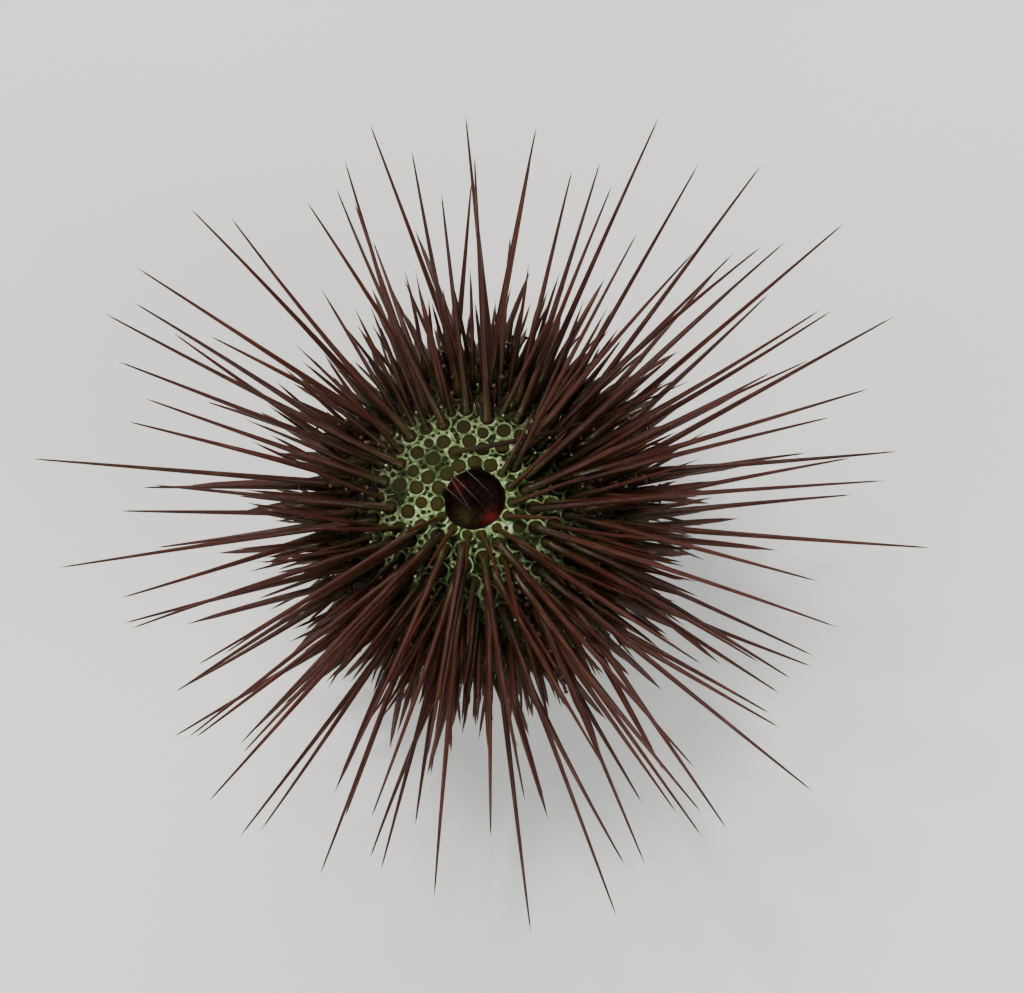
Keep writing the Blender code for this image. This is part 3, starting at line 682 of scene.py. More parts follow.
def pack_discs(sites, bases, most, least, width, draw):
    """Adds discs at some of the sites, where they nestle best, until no gap takes one of the least radius."""
    places = np.array([site["place"] for site in sites])
    downs = np.array([site["down"] for site in sites])
    nearest = np.full(len(places), FAR)
    second = np.full(len(places), FAR)

    def crowd(base):
        part = close_to(base, downs, CROWD_REACH)
        gap = np.linalg.norm(places[part] - np.array(base["place"]), axis=1) - base["radius"]
        keep_nearer(nearest, second, part, gap)

    for base in bases:
        crowd(base)
    while True:
        radius = draw.uniform(*most)
        snug = np.where(nearest >= radius + width, nearest + second, np.inf)
        index = int(np.argmin(snug))
        if not np.isfinite(snug[index]):
            index = int(np.argmax(nearest))
            radius = nearest[index] - width
            if radius < least:
                return
            radius = min(radius, most[1])
        base = dict(sites[index], radius=float(radius))
        bases.append(base)
        crowd(base)


def skin_sites(low, high, widest, count, draw):
    """Places spread evenly over the skin between two lengths down it."""
    sites = []
    while len(sites) < count:
        down, azimuth = draw.uniform(low, high), draw.uniform(-math.pi, math.pi)
        place = surface(down, azimuth)
        if draw.random() * widest < place.xy.length:
            sites.append({"place": place, "down": down, "azimuth": azimuth})
    return sorted(sites, key=lambda site: site["down"])


def skin_bases(spines):
    """Discs of the spines, then discs and pits that fill the skin between them."""
    draw = random.Random(BASES_SEED)
    bases = []
    for spine in spines:
        radius = LONG_DISC if spine["kind"] in ("full", "bare") else SMALL_DISC
        place = surface(spine["down"], spine["azimuth"])
        taken = dict(place=place, down=spine["down"], azimuth=spine["azimuth"], radius=radius, kind="spine")
        bases.append(taken)
    first = MERIDIAN.length_at_radius(ANAL_RADIUS + CRUST) + LEAST_CROWN_DISC
    crown_end = MERIDIAN.length_at_radius(CROWN_END)
    last = MERIDIAN.lengths[-1] - LEAST_SIDE_DISC
    crown = skin_sites(first, crown_end, CROWN_END, CROWN_SITES, draw)
    sides = skin_sites(crown_end, last, TEST_RADIUS, SIDE_SITES, draw)
    pack_discs(crown, bases, CROWN_DISC, LEAST_CROWN_DISC, LACE_WIDTH, draw)
    pack_discs(sides, bases, SIDE_DISC, LEAST_SIDE_DISC, LACE_WIDTH, draw)
    discs = len(bases)
    pack_discs(crown, bases, PIT, LEAST_PIT, PIT_LACE_WIDTH, draw)
    pack_discs(sides, bases, PIT, LEAST_PIT, PIT_LACE_WIDTH, draw)
    for number, base in enumerate(bases):
        base.setdefault("kind", "fill" if number < discs else "pit")
    return bases


def around_bases(points, downs, bases):
    """For each point, the gaps to the edges of its two nearest discs and nearest pit, and the disc's dome."""
    noise.seed_set(WOBBLE_SEED)
    points = [point + noise.noise_vector(point * WOBBLES_PER_METRE) * WOBBLE for point in map(Vector, points)]
    order = np.argsort(downs)
    points, sorted_downs = np.array(points)[order], downs[order]
    near, second, pit, dome = (np.full(len(points), value) for value in (FAR, FAR, FAR, 0.0))
    for base in bases:
        part = close_to(base, sorted_downs, RELIEF_REACH)
        apart = np.linalg.norm(points[part] - np.array(base["place"]), axis=1)
        gap = apart - base["radius"]
        if base["kind"] == "pit":
            pit[part] = np.minimum(pit[part], gap)
        else:
            keep_nearer(near, second, part, gap)
            dome[part] = np.maximum(dome[part], 1 - (apart / base["radius"]) ** 2)
    back = np.argsort(order)
    return near[back], second[back], pit[back], dome[back]


def spun(outline, steps):
    """Turns a closed outline of (radius, height, mark) round the axis, with the marks kept as a layer."""
    bm = bmesh.new()
    mark = bm.verts.layers.float.new("mark")
    corners = []
    for radius, height, value in outline:
        corner = bm.verts.new((radius, 0, height))
        corner[mark] = value
        corners.append(corner)
    ring = [bm.edges.new(pair) for pair in zip(corners, corners[1:] + corners[:1])]
    bmesh.ops.spin(
        bm, geom=corners + ring, cent=(0, 0, 0), axis=(0, 0, 1), angle=2 * math.pi, steps=steps,
        use_merge=True,
    )
    bmesh.ops.remove_doubles(bm, verts=bm.verts, dist=MERGE)
    bmesh.ops.recalc_face_normals(bm, faces=bm.faces)
    return bm


def corners_of(bm):
    """Places, marks, distances from the axis and bearings of a turned shape's corners."""
    mark = bm.verts.layers.float["mark"]
    places = np.array([vert.co for vert in bm.verts])
    marks = np.array([vert[mark] for vert in bm.verts])
    return places, marks, np.hypot(places[:, 0], places[:, 1]), np.arctan2(places[:, 1], places[:, 0])


def faces_of(bm):
    """The corner numbers of each face, in an order that is the same in every run."""
    bm.verts.index_update()
    faces = []
    for face in bm.faces:
        numbers = [vert.index for vert in face.verts]
        first = numbers.index(min(numbers))
        faces.append(numbers[first:] + numbers[:first])
    return sorted(faces)


def mesh_of(bm, name, places):
    """A mesh of the bmesh with its corners at these places, moved to the animal's axis."""
    mesh = bpy.data.meshes.new(name)
    mesh.from_pydata(places + np.array(AXIS), [], faces_of(bm))
    bm.free()
    mesh.shade_smooth()
    return mesh


def with_layers(mesh, **layers):
    """Stores numbers or vectors, one to a corner, which the materials read by name."""
    for name, values in layers.items():
        values = np.asarray(values, float)
        kind, key = ("FLOAT_VECTOR", "vector") if values.ndim > 1 else ("FLOAT", "value")
        mesh.attributes.new(name, kind, "POINT").data.foreach_set(key, values.ravel())


def linked(name, data):
    """A new object, linked to the scene."""
    thing = bpy.data.objects.new(name, data)
    bpy.context.scene.collection.objects.link(thing)
    return thing


def shown(mesh, finish, slot, *replaced):
    """Shows a finished mesh, which rides on the one body and stands for the solids that it replaces."""
    thing = linked(mesh.name, mesh)
    mesh.materials.clear()
    mesh.materials.append(finish)
    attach(thing, "root")
    if replaced:
        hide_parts(*replaced)


def plate_rises(radius, azimuth):
    """Rise of the ten plates round the hole at the top."""
    rise = np.zeros(len(radius))
    across = band(radius / MM, PLATES_MM)
    for name, middle, _ in sectors():
        half = (GENITAL_ANGLE if name.startswith("inter") else OCULAR_ANGLE) / 2
        off = np.abs((azimuth - middle + math.pi) % (2 * math.pi) - math.pi)
        rise = np.maximum(rise, across * (1 - fade(off, half, half + PLATE_SLOPE)))
    return rise * PLATE_RISE


def laced_skin(bases, finish):
    """One skin over the whole shell, from the hole at the top to the rim of the mouth, with a wall inside."""
    first = MERIDIAN.length_at_radius(ANAL_RADIUS + CRUST)
    crown_end = MERIDIAN.length_at_radius(CROWN_END)
    crown = np.arange(first, crown_end, CROWN_RING_STEP)
    downs = [*crown, *np.linspace(crown_end, MERIDIAN.lengths[-1], SIDE_RINGS)]
    outline = [(*MERIDIAN.point(down), down) for down in downs]
    inside = [(MOUTH_RADIUS + out * MM, MOUTH_LEVEL + up * MM, -1.0) for out, up in WALL_FROM_MOUTH_MM]
    inside += [(ANAL_RADIUS + out * MM, TOP + up * MM, -1.0) for out, up in WALL_FROM_TOP_MM]
    bm = spun(outline + inside, SKIN_STEPS)
    places, down, radius, azimuth = corners_of(bm)
    near, second, pit_gap, dome = around_bases(places, down, bases)
    collar = fade(near, 0.0, COLLAR_SLOPE) * (1 - (1 - WEB_RISE) * fade(near, *COLLAR))
    pit = 1 - fade(pit_gap, -PIT_SLOPE, PIT_SLOPE)
    rise = LACE_RISE * collar + DISC_DOME * dome - PIT_DEPTH * pit + plate_rises(radius, azimuth)
    rise *= (down >= 0) * fade(down, first, first + 2 * CROWN_RING_STEP)
    tilt = np.interp(down, downs, [MERIDIAN.normal_tilt(d) for d in downs])
    out = np.stack([np.sin(tilt) * np.cos(azimuth), np.sin(tilt) * np.sin(azimuth), np.cos(tilt)], axis=1)
    upper = (down >= 0) & (down < MERIDIAN.length_at_radius(TEST_RADIUS * UPPER_SIDE))
    pale = np.where(upper, np.interp(radius / MM, *zip(*PALENESS)), PALENESS[-1][1])
    mesh = mesh_of(bm, "laced_skin", places + out * rise[:, None])
    near, second, pit_gap = (np.minimum(gap / MM, FARTHEST) for gap in (near, second, pit_gap))
    rim = np.clip((radius - ANAL_RADIUS - CRUST) / MM, 0.0, FARTHEST)
    with_layers(mesh, edge=near, parting=second - near, pit=pit_gap, dome=dome, pale=pale, rim=rim)
    shown(mesh, finish, "spined_skin", *(name for name, _, _ in sectors()), "apical_plates")


def ring_stack(sides, count):
    """A closed tube of rings a unit apart, ending in a point: its corners and faces."""
    bm = bmesh.new()
    bmesh.ops.create_circle(bm, cap_ends=True, segments=sides, radius=1.0)
    ring = list(bm.edges)
    for _ in range(count - 1):
        grown = bmesh.ops.extrude_edge_only(bm, edges=ring)["geom"]
        verts = [part for part in grown if isinstance(part, bmesh.types.BMVert)]
        edges = [part for part in grown if isinstance(part, bmesh.types.BMEdge)]
        ring = [edge for edge in edges if all(vert in verts for vert in edge.verts)]
        bmesh.ops.translate(bm, vec=(0, 0, 1), verts=verts)
    bmesh.ops.pointmerge(bm, verts=verts, merge_co=(0, 0, count - 1))
    bmesh.ops.recalc_face_normals(bm, faces=bm.faces)
    corners = np.array([vert.co for vert in bm.verts])
    faces = faces_of(bm)
    bm.free()
    return corners, faces


class Growths:
    """Many spines or feet of one make, joined in one mesh as they are grown."""

    def __init__(self, sides, stations, full_length=0.0):
        corners, self.faces = ring_stack(sides, stations)
        self.full_length = full_length
        self.ring = np.rint(corners[:, 2]).astype(int)
        self.angle = np.arctan2(corners[:, 1], corners[:, 0])
        self.off_axis = np.hypot(corners[:, 0], corners[:, 1])
        self.crest = np.rint(self.angle / (2 * math.pi) * sides) % 2 * self.off_axis
        self.corners, self.all_faces, self.uvs = [], [], []
        self.layers = {"along": [], "root": [], "shade": [], "grain": []}
        self.count = 0

    def grow(self, path, site, shade, width=1.0):
        """One more, from the middles and radii of its rings, how far its crests stand out and its heights."""
        centres, radii, crests, heights = (np.array(values, float) for values in path)
        ways = np.gradient(centres, axis=0)
        for number in range(1, len(ways)):
            if ways[number] @ ways[number - 1] <= 0:  # where the line turns back, as in a sucker's hollow end
                ways[number] = ways[number - 1]
        ways /= np.linalg.norm(ways, axis=1)[:, None]
        across = np.cross(ways[0], (0.0, 0.0, 1.0) if abs(ways[0][2]) < STEEP else (1.0, 0.0, 0.0))
        across = across - (ways @ across)[:, None] * ways
        across /= np.linalg.norm(across, axis=1)[:, None]
        other = np.cross(ways, across)
        k = self.ring
        out = radii[k] * self.off_axis * (1 + crests[k] * (2 * self.crest - 1))
        turned = across[k] * np.cos(self.angle)[:, None] * width + other[k] * np.sin(self.angle)[:, None]
        corners = centres[k] + turned * out[:, None]
        corners[:, 2] = np.maximum(corners[:, 2], 0.0)
        along = np.clip(heights / heights[-1], 0, 1)
        self.corners.append(corners)
        self.all_faces.extend([index + self.count for index in face] for face in self.faces)
        self.count += len(k)
        round_it = np.stack([np.cos(self.angle), np.sin(self.angle)], axis=1) * self.off_axis[:, None]
        length = heights[-1]
        reddening = min(length / self.full_length, 1.0) if self.full_length else 1.0
        self.layers["along"].append(along[k] * reddening)
        tint_end = min(ROOT_TINT_END[0], ROOT_TINT_END[1] * length)
        self.layers["root"].append(1 - fade(heights[k], ROOT_TINT_START * length, tint_end))
        self.layers["shade"].append(np.full(len(k), shade))
        grain = heights[k] / MM * GRAIN_STRETCH + shade * GRAIN_SPREAD
        self.layers["grain"].append(np.column_stack([round_it, grain]))
        patch = np.column_stack([round_it[:, 0], 2 * along[k] - 1]) * UV_PATCH / 2
        self.uvs.append(np.array(unwrapped(site["down"], site["azimuth"])) + patch)

    def shown(self, name, finish, slot="spined_skin"):
        """Makes one mesh of all that has grown, with its layers and the map for the bake, and shows it."""
        mesh = bpy.data.meshes.new(name)
        mesh.from_pydata(np.concatenate(self.corners) + np.array(AXIS), [], self.all_faces)
        with_layers(mesh, **{layer: np.concatenate(values) for layer, values in self.layers.items()})
        corner_of = np.zeros(len(mesh.loops), int)
        mesh.loops.foreach_get("vertex_index", corner_of)
        mesh.uv_layers.new(name="OFBake").data.foreach_set("uv", np.concatenate(self.uvs)[corner_of].ravel())
        mesh.shade_smooth()
        shown(mesh, finish, slot)


def spine_path(spine, foot, shaft, bow, crest_rise):
    """Rings of a spine: its foot stands straight up from the skin, and its shaft leans its own way."""
    base, way, length, thick = spine["base"], spine["way"], spine["length"], spine["radius"] * SLENDERNESS
    normal = normal_at(spine["down"], spine["azimuth"])
    turn = Vector((math.sin(bow * BOW_TURNS[0]), math.cos(bow * BOW_TURNS[1]), BOW_TURNS[2]))
    side = spine.get("side") or way.cross(turn).normalized()
    centres, radii, crests, heights = [], [], [], []
    for height, factor in foot:
        lean = min(max(height / foot[-1][0], 0.0), 1.0)
        centres.append(base + normal.lerp(way, lean).normalized() * height * MM)
        radii.append(factor * thick)
        crests.append(crest_rise if height > foot[-1][0] / 2 else 0.0)
        heights.append(height * MM)
    start = foot[-1][0] * MM
    for share, factor in shaft:
        height = start + (length - start) * share
        centres.append(base + way * height + side * (bow * length * 4 * share * (1 - share)))
        radii.append(factor * thick)
        crests.append(crest_rise * (1 - CREST_FADE * share))
        heights.append(height)
    return centres, radii, crests, heights


def growth_rings(centres, shape, radius, length):
    """Middles, radii, crests and heights of a growth that has no crests, from its (share, radius) pairs."""
    shares, factors = zip(*shape)
    radii = [factor * radius for factor in factors]
    return centres, radii, [0.0] * len(shape), [share * length for share in shares]


def curved_path(root, bend, tip, shape, radius):
    """Rings of a growth on a bent line from its root to its tip, from (share of the way, radius) pairs."""
    length = (tip - root).length
    centres = []
    for share, _ in shape:
        if share > 0:
            rest = 1 - share
            centres.append(root * rest ** 2 + bend * (2 * share * rest) + tip * share * share)
        else:
            centres.append(root + (bend - root) * 2 * share)
    return growth_rings(centres, shape, radius, length)


def grow_spines(spines, finish):
    """The spines that the solids have too, each at its place and size."""
    draw = random.Random(SEED + 1)
    needles = Growths(NEEDLE_SIDES, len(NEEDLE_FOOT) + len(NEEDLE_SHAFT), FULL_COLOUR_LENGTH)
    stout = Growths(STOUT_SIDES, len(NEEDLE_FOOT) + len(STOUT_SHAFT), FULL_COLOUR_LENGTH)
    small = Growths(SMALL_SIDES, len(SMALL_FOOT) + len(SMALL_SHAFT), FULL_COLOUR_LENGTH)
    for spine in spines:
        bow, shade = draw.uniform(-1, 1) * MOST_BOW, draw.random()
        if spine["kind"] == "bare":
            continue
        if spine["kind"] == "stray":
            bow, shade = STRAY_BOW, STRAY_SHADE
        if spine["kind"] in ("small", "ring"):
            small.grow(spine_path(spine, SMALL_FOOT, SMALL_SHAFT, bow, 0.0), spine, shade)
        elif spine["share"] < LONG_SPINES_END:
            needles.grow(spine_path(spine, NEEDLE_FOOT, NEEDLE_SHAFT, bow, CREST_RISE), spine, shade)
        else:
            if spine["share"] > STANDING_SPINES_START:
                spine["length"] = spine["base"].z / -spine["way"].z
            stout.grow(spine_path(spine, NEEDLE_FOOT, STOUT_SHAFT, bow, CREST_RISE), spine, shade)
    needles.shown("needles", finish)
    stout.shown("stout_spines", finish)
    small.shown("small_spines", finish)


def segments(spines):
    """Starts, ends and base radii of the spines that aren't bare."""
    grown = [spine for spine in spines if spine["kind"] != "bare"]
    starts = np.array([spine["base"] for spine in grown])
    ends = np.array([spine["base"] + spine["way"] * spine["length"] for spine in grown])
    return starts, ends, np.array([spine["radius"] for spine in grown])


def stray_spine(bases, spines):
    """The spine that leans across the crown, from the disc nearest its root to a tip with room round it."""
    root = min(bases, key=lambda base: (base["place"] - STRAY_ROOT).xy.length)
    starts, ends, radii = segments(spines)
    best, most_room = None, -1.0
    for height in np.linspace(*STRAY_HEIGHTS_MM, STRAY_TRIES):
        tip = Vector((*STRAY_TIP.xy, TOP + height * MM))
        apart, along, others_along = gaps_to(np.array(root["place"]), np.array(tip), starts, ends)
        room = (apart - thickness(along, STRAY_RADIUS) - thickness(others_along, radii)).min()
        if room > most_room:
            best, most_room = tip, room
    way = (best - root["place"]).normalized()
    side = way.cross(Vector((0, 0, 1))).normalized()
    return dict(
        root, kind="stray", share=0.0, base=root["place"], way=way, side=side,
        length=(best - root["place"]).length, radius=STRAY_RADIUS,
    )


def in_bare_crown(base):
    """Whether a base is in the middle of the top, where nothing but the main spines grows."""
    start, end = BARE_CROWN_BEARINGS
    inside = start - BARE_MARGIN < base["azimuth"] % (2 * math.pi) < end + BARE_MARGIN
    reach = BARE_CROWN_RADIUS if inside else OPEN_CROWN_RADIUS
    return base["place"].xy.length < reach and base["place"].z > TOP / 2


def share_down(base):
    """Share of the way from the first row of spines to the last."""
    _, first, last = row_lengths()
    return min(max((base["down"] - first) / (last - first), 0.0), 1.0)


def fill_spines(bases, spines):
    """Secondary spines on the discs between the main ones, each clear of all the others."""
    draw = random.Random(FILL_SEED)
    starts, ends, radii = segments(spines)
    found = []
    for base in bases:
        if base["kind"] != "fill" or in_bare_crown(base):
            continue
        share = share_down(base)
        thick = read_table(FILL_RADIUS_MM, share) * MM
        length = read_table(FILL_LENGTH_MM, share) * draw.uniform(*FILL_PLAY) * MM
        lean = MERIDIAN.normal_tilt(base["down"]) + math.radians(read_table(LEAN_DEG, share)) * FILL_LEAN
        room = draw.uniform(*FILL_REACH) - base["place"].xy.length
        for _ in range(FILL_TRIES):
            tilt = lean + draw.uniform(-1, 1) * FILL_TILT_PLAY
            way = bearing(base["azimuth"] + draw.uniform(-1, 1) * FILL_BEARING_PLAY, tilt)
            reach = max(min(length, room / way.xy.length), LEAST_FILL_LENGTH)
            if way.z < 0:
                reach = min(reach, (base["place"].z - FILL_FLOOR_GAP) / -way.z)
            start = np.array(base["place"])
            end = start + np.array(way) * reach
            apart, along, others_along = gaps_to(start, end, starts, ends)
            both = thickness(along, thick) * FILL_TAPER + thickness(others_along, radii) * SLENDERNESS
            if (apart > both + FILL_CLEARANCE).all():
                found.append(dict(base, share=share, base=base["place"], way=way, length=reach, radius=thick))
                starts, ends = np.vstack([starts, start]), np.vstack([ends, end])
                radii = np.append(radii, thick)
                break
            length = max(length * FILL_SHORTENING, LEAST_FILL_LENGTH)
    return found


def grow_fill(spines, finish):
    """The secondary spines, slimmer than the others and without crests."""
    draw = random.Random(FILL_SEED + 1)
    slim = Growths(SMALL_SIDES, len(SMALL_FOOT) + len(STOUT_SHAFT), FULL_COLOUR_LENGTH)
    for spine in spines:
        bow = draw.uniform(-1, 1) * MOST_BOW * FILL_BOW
        slim.grow(spine_path(spine, SMALL_FOOT, STOUT_SHAFT, bow, 0.0), spine, draw.random())
    slim.shown("slim_spines", finish)


def grow_spinelets(finish):
    """The thin spinelets that lean over the anal field."""
    spinelets = Growths(TINY_SIDES, len(BRISTLE_SHAPE))
    for radius, at, aim, length in FIELD_SPINELETS:
        azimuth, aim, length = math.radians(at), math.radians(aim), length * MM
        site = {"down": MERIDIAN.length_at_radius(radius * MM), "azimuth": azimuth}
        root = surface(site["down"], azimuth)
        tip = root + bearing(aim, math.pi / 2) * length + Vector((0, 0, SPINELET_TIP_RISE))
        bend = root + (tip - root) * SPINELET_BEND + Vector((0, 0, SPINELET_BEND_RISE))
        path = curved_path(root, bend, tip, BRISTLE_SHAPE, SPINELET_RADIUS)
        spinelets.grow(path, site, MEAN_SHADE)
    spinelets.shown("field_spinelets", finish)


def wavy(site, way, length, shape, radius, wave, draw):
    """Rings of a soft growth that sways as it leaves the skin."""
    root, normal = site["place"], normal_at(site["down"], site["azimuth"])
    side = normal.cross(way)
    side = (side if side.length > LEAST_SINE else normal.orthogonal()).normalized()
    phase = draw.uniform(0, 2 * math.pi)
    centres = []
    for share, _ in shape:
        lean = min(max(share * LEANING, 0.0), 1.0)
        sway = side * math.sin(phase + share * SWAY_TURN) * wave * length * max(share, 0.0)
        centres.append(root + normal.lerp(way, lean * MOST_LEAN).normalized() * (share * length) + sway)
    return growth_rings(centres, shape, radius, length)


def grow_feet(finish):
    """Tube feet in two columns down each ambulacrum, hanging a little and ending in suckers."""
    draw = random.Random(GROWTHS_SEED)
    _, first, last = row_lengths()
    start, end = (first + (last - first) * share for share in FEET_SPAN)
    feet = Growths(TINY_SIDES, len(FOOT_SHAPE))
    for _, middle, angle in AMBULACRA:
        for side in (-1, 1):
            for down in np.arange(start, end, FEET_STEP):
                column = FEET_COLUMN + draw.uniform(-FEET_COLUMN_PLAY, FEET_COLUMN_PLAY)
                azimuth = middle + side * angle * column
                down = float(down) + draw.uniform(-FEET_DOWN_PLAY, FEET_DOWN_PLAY)
                site = {"down": down, "azimuth": azimuth, "place": surface(down, azimuth)}
                length = read_table(FEET_LENGTH_MM, share_down(site)) * draw.uniform(*FEET_LENGTH_PLAY) * MM
                tilt = MERIDIAN.normal_tilt(down) + draw.uniform(*FEET_TILT_PLAY)
                way = bearing(azimuth + draw.uniform(-FEET_BEARING_PLAY, FEET_BEARING_PLAY), tilt)
                if way.z < 0:
                    length = min(length, (site["place"].z - FEET_FLOOR_GAP) / -way.z)
                path = wavy(site, way, length, FOOT_SHAPE, FOOT_RADIUS, FOOT_WAVE, draw)
                feet.grow(path, site, draw.random())
    feet.shown("tube_feet", finish)


def grow_small_things(bases, finish):
    """Pincers on stalks and short pale bristles, which grow in some of the pits of the lace."""
    draw = random.Random(GROWTHS_SEED + 1)
    pincers = Growths(TINY_SIDES, len(PINCER_SHAPE))
    bristles = Growths(TINY_SIDES, len(BRISTLE_SHAPE))
    for base in bases:
        chance = draw.random()
        crown = in_bare_crown(base)
        if base["kind"] != "pit" or crown and chance > CROWN_BRISTLE_SHARE:
            continue
        aim = base["azimuth"] + draw.uniform(-SMALL_BEARING_PLAY, SMALL_BEARING_PLAY)
        way = bearing(aim, MERIDIAN.normal_tilt(base["down"]) + draw.uniform(*SMALL_TILT_PLAY))
        if chance < PINCER_SHARE and not crown:
            length = draw.uniform(*PINCER_LENGTH)
            path = wavy(base, way, length, PINCER_SHAPE, PINCER_RADIUS, PINCER_WAVE, draw)
            pincers.grow(path, base, draw.random())
        elif chance < PINCER_SHARE + BRISTLE_SHARE and base["place"].xy.length > BRISTLES_START:
            length = draw.uniform(*BRISTLE_LENGTH)
            path = wavy(base, way, length, BRISTLE_SHAPE, BRISTLE_RADIUS, BRISTLE_WAVE, draw)
            bristles.grow(path, base, draw.random())
    pincers.shown("pincers", finish)
    bristles.shown("bristles", finish)


def finer(profile, count):
    """A profile of (radius, height) in millimetres, read at more points along its length."""
    radii, heights = (np.array(values) * MM for values in zip(*profile))
    lengths = np.concatenate([[0.0], np.cumsum(np.hypot(np.diff(radii), np.diff(heights)))])
    steps = np.linspace(0, lengths[-1], count)
    return list(zip(np.interp(steps, lengths, radii), np.interp(steps, lengths, heights)))


def scale_domes(places, rings, spread, draw):
    """How far up each point is on the nearest of the small plates that stand in rings."""
    middles = []
    for number, (radius, count) in enumerate(rings):
        for k in range(count):
            turn = k + number % 2 / 2 + draw.uniform(-PLATE_TURN_PLAY, PLATE_TURN_PLAY)
            at = turn * 2 * math.pi / count
            out = (radius + draw.uniform(-PLATE_RADIUS_PLAY, PLATE_RADIUS_PLAY)) * MM
            middles.append((out * math.cos(at), out * math.sin(at), draw.uniform(*PLATE_SIZE_PLAY)))
    dome = np.zeros(len(places))
    for x, y, size in middles:
        apart = np.hypot(places[:, 0] - x, places[:, 1] - y) / (spread * size)
        dome = np.maximum(dome, 1 - apart ** 2)
    return np.sqrt(dome)


def patch_strength(places, radius, at, spread):
    """How strongly each point takes a patch of colour round a middle, in millimetres and degrees."""
    x, y = radius * math.cos(math.radians(at)), radius * math.sin(math.radians(at))
    apart = np.hypot(places[:, 0] / MM - x, places[:, 1] / MM - y)
    return np.exp(-(apart / spread) ** 2)


def turned_piece(profile, level, back, rings, steps):
    """A turned shape of a fine profile at a level, closed behind its edge. Its visible side is marked."""
    points = [(radius, height + level, 1.0) for radius, height in finer(profile, rings)]
    return spun(points + [(points[-1][0], back, 0.0), (points[0][0], back, 0.0)], steps)


def anal_field(finish):
    """The dished skin over the hole at the top: small dark plates round a low cone with an opening."""
    draw = random.Random(GROWTHS_SEED + 2)
    bm = turned_piece(FIELD_PROFILE_MM, TOP, TOP - FIELD_BACK_MM * MM, FIELD_RINGS, FIELD_STEPS)
    places, front, radius, azimuth = corners_of(bm)
    dome = scale_domes(places, FIELD_PLATE_RINGS, FIELD_PLATE_RADIUS, draw) * front
    dome *= band(radius / MM, FIELD_PLATES_MM)
    folds = np.cos(azimuth * FIELD_FOLDS + FIELD_FOLD_TURN) * band(radius / MM, FIELD_FOLDS_MM)
    olive = patch_strength(places, *OLIVE_PATCH)
    swelling = olive * OLIVE_SWELLING * (1 - fade(radius, *OLIVE_EDGE))
    places[:, 2] += (dome * FIELD_PLATE_RISE + folds * FIELD_FOLD_RISE + swelling) * front
    mesh = mesh_of(bm, "anal_field_skin", places)
    # Partly the field's own red and partly painted light on the lit wall of its bowl
    red = sum(patch_strength(places, *patch) for patch in RED_AND_LIT_PATCHES)
    with_layers(mesh, dome=dome, red=red, olive=olive)
    shown(mesh, finish, "anal_field", "anal_field")


def mouth(finish, foot_finish):
    """The soft skin round the jaws with its small plates, and the ten stout feet on it."""
    draw = random.Random(GROWTHS_SEED + 3)
    back = MOUTH_LEVEL + MOUTH_BACK_MM * MM
    bm = turned_piece(MOUTH_PROFILE_MM, MOUTH_LEVEL, back, MOUTH_RINGS, MOUTH_STEPS)
    places, front, radius, _ = corners_of(bm)
    dome = scale_domes(places, SCALE_RINGS, SCALE_RADIUS, draw) * front
    places[:, 2] -= dome * SCALE_RISE * band(radius / MM, SCALES_MM)
    mesh = mesh_of(bm, "mouth_plates", places)
    with_layers(mesh, dome=dome)
    shown(mesh, finish, "mouth_skin", "mouth_skin")
    feet = Growths(SMALL_SIDES, len(MOUTH_FOOT_SHAPE))
    for _, middle, _ in AMBULACRA:
        for side in (-0.5, 0.5):
            azimuth = middle + side * MOUTH_FEET_APART
            out = bearing(azimuth, math.pi / 2)
            root = out * MOUTH_FOOT_RING + Vector((0, 0, MOUTH_LEVEL - MOUTH_FOOT_DROP))
            tip = root + out * MOUTH_FOOT_SLANT - Vector((0, 0, MOUTH_FOOT_LENGTH))
            path = curved_path(root, (root + tip) / 2, tip, MOUTH_FOOT_SHAPE, MOUTH_FOOT_RADIUS)
            feet.grow(path, {"down": MERIDIAN.lengths[-1], "azimuth": azimuth}, draw.random())
    feet.shown("mouth_feet", foot_finish, "mouth_skin")


def jaws(lip_finish, tooth_finish):
    """The lip, and five teeth that meet point to point in the middle of it."""
    bm = turned_piece(LIP_PROFILE_MM, MOUTH_LEVEL, MOUTH_LEVEL + MOUTH_BACK_MM * MM, LIP_RINGS, LIP_STEPS)
    places, front, radius, azimuth = corners_of(bm)
    folds = np.cos(azimuth * LIP_FOLDS) * band(radius / MM, LIP_FOLDS_MM)
    places[:, 2] += folds * LIP_FOLD_RISE * front
    mesh = mesh_of(bm, "lip", places)
    with_layers(mesh, dome=(folds + 1) / 2)
    shown(mesh, lip_finish, "mouth_skin", "jaws_and_teeth")
    teeth = Growths(TOOTH_SIDES, len(TOOTH_SHAPE))
    for _, middle, _ in INTERAMBULACRA:
        root = bearing(middle, math.pi / 2) * TEETH_RING + Vector((0, 0, MOUTH_LEVEL - TEETH_DROP))
        way = bearing(middle + math.pi, math.pi - TOOTH_TILT)
        centres = [root + way * share * TOOTH_LENGTH for share, _ in TOOTH_SHAPE]
        radii = [factor * TOOTH_RADIUS for _, factor in TOOTH_SHAPE]
        heights = [(share - TOOTH_SHAPE[0][0]) * TOOTH_LENGTH for share, _ in TOOTH_SHAPE]
        site = {"down": MERIDIAN.lengths[-1], "azimuth": middle}
        teeth.grow((centres, radii, [0.0] * len(radii), heights), site, MEAN_SHADE, TOOTH_WIDTH)
    teeth.shown("teeth", tooth_finish, "teeth")


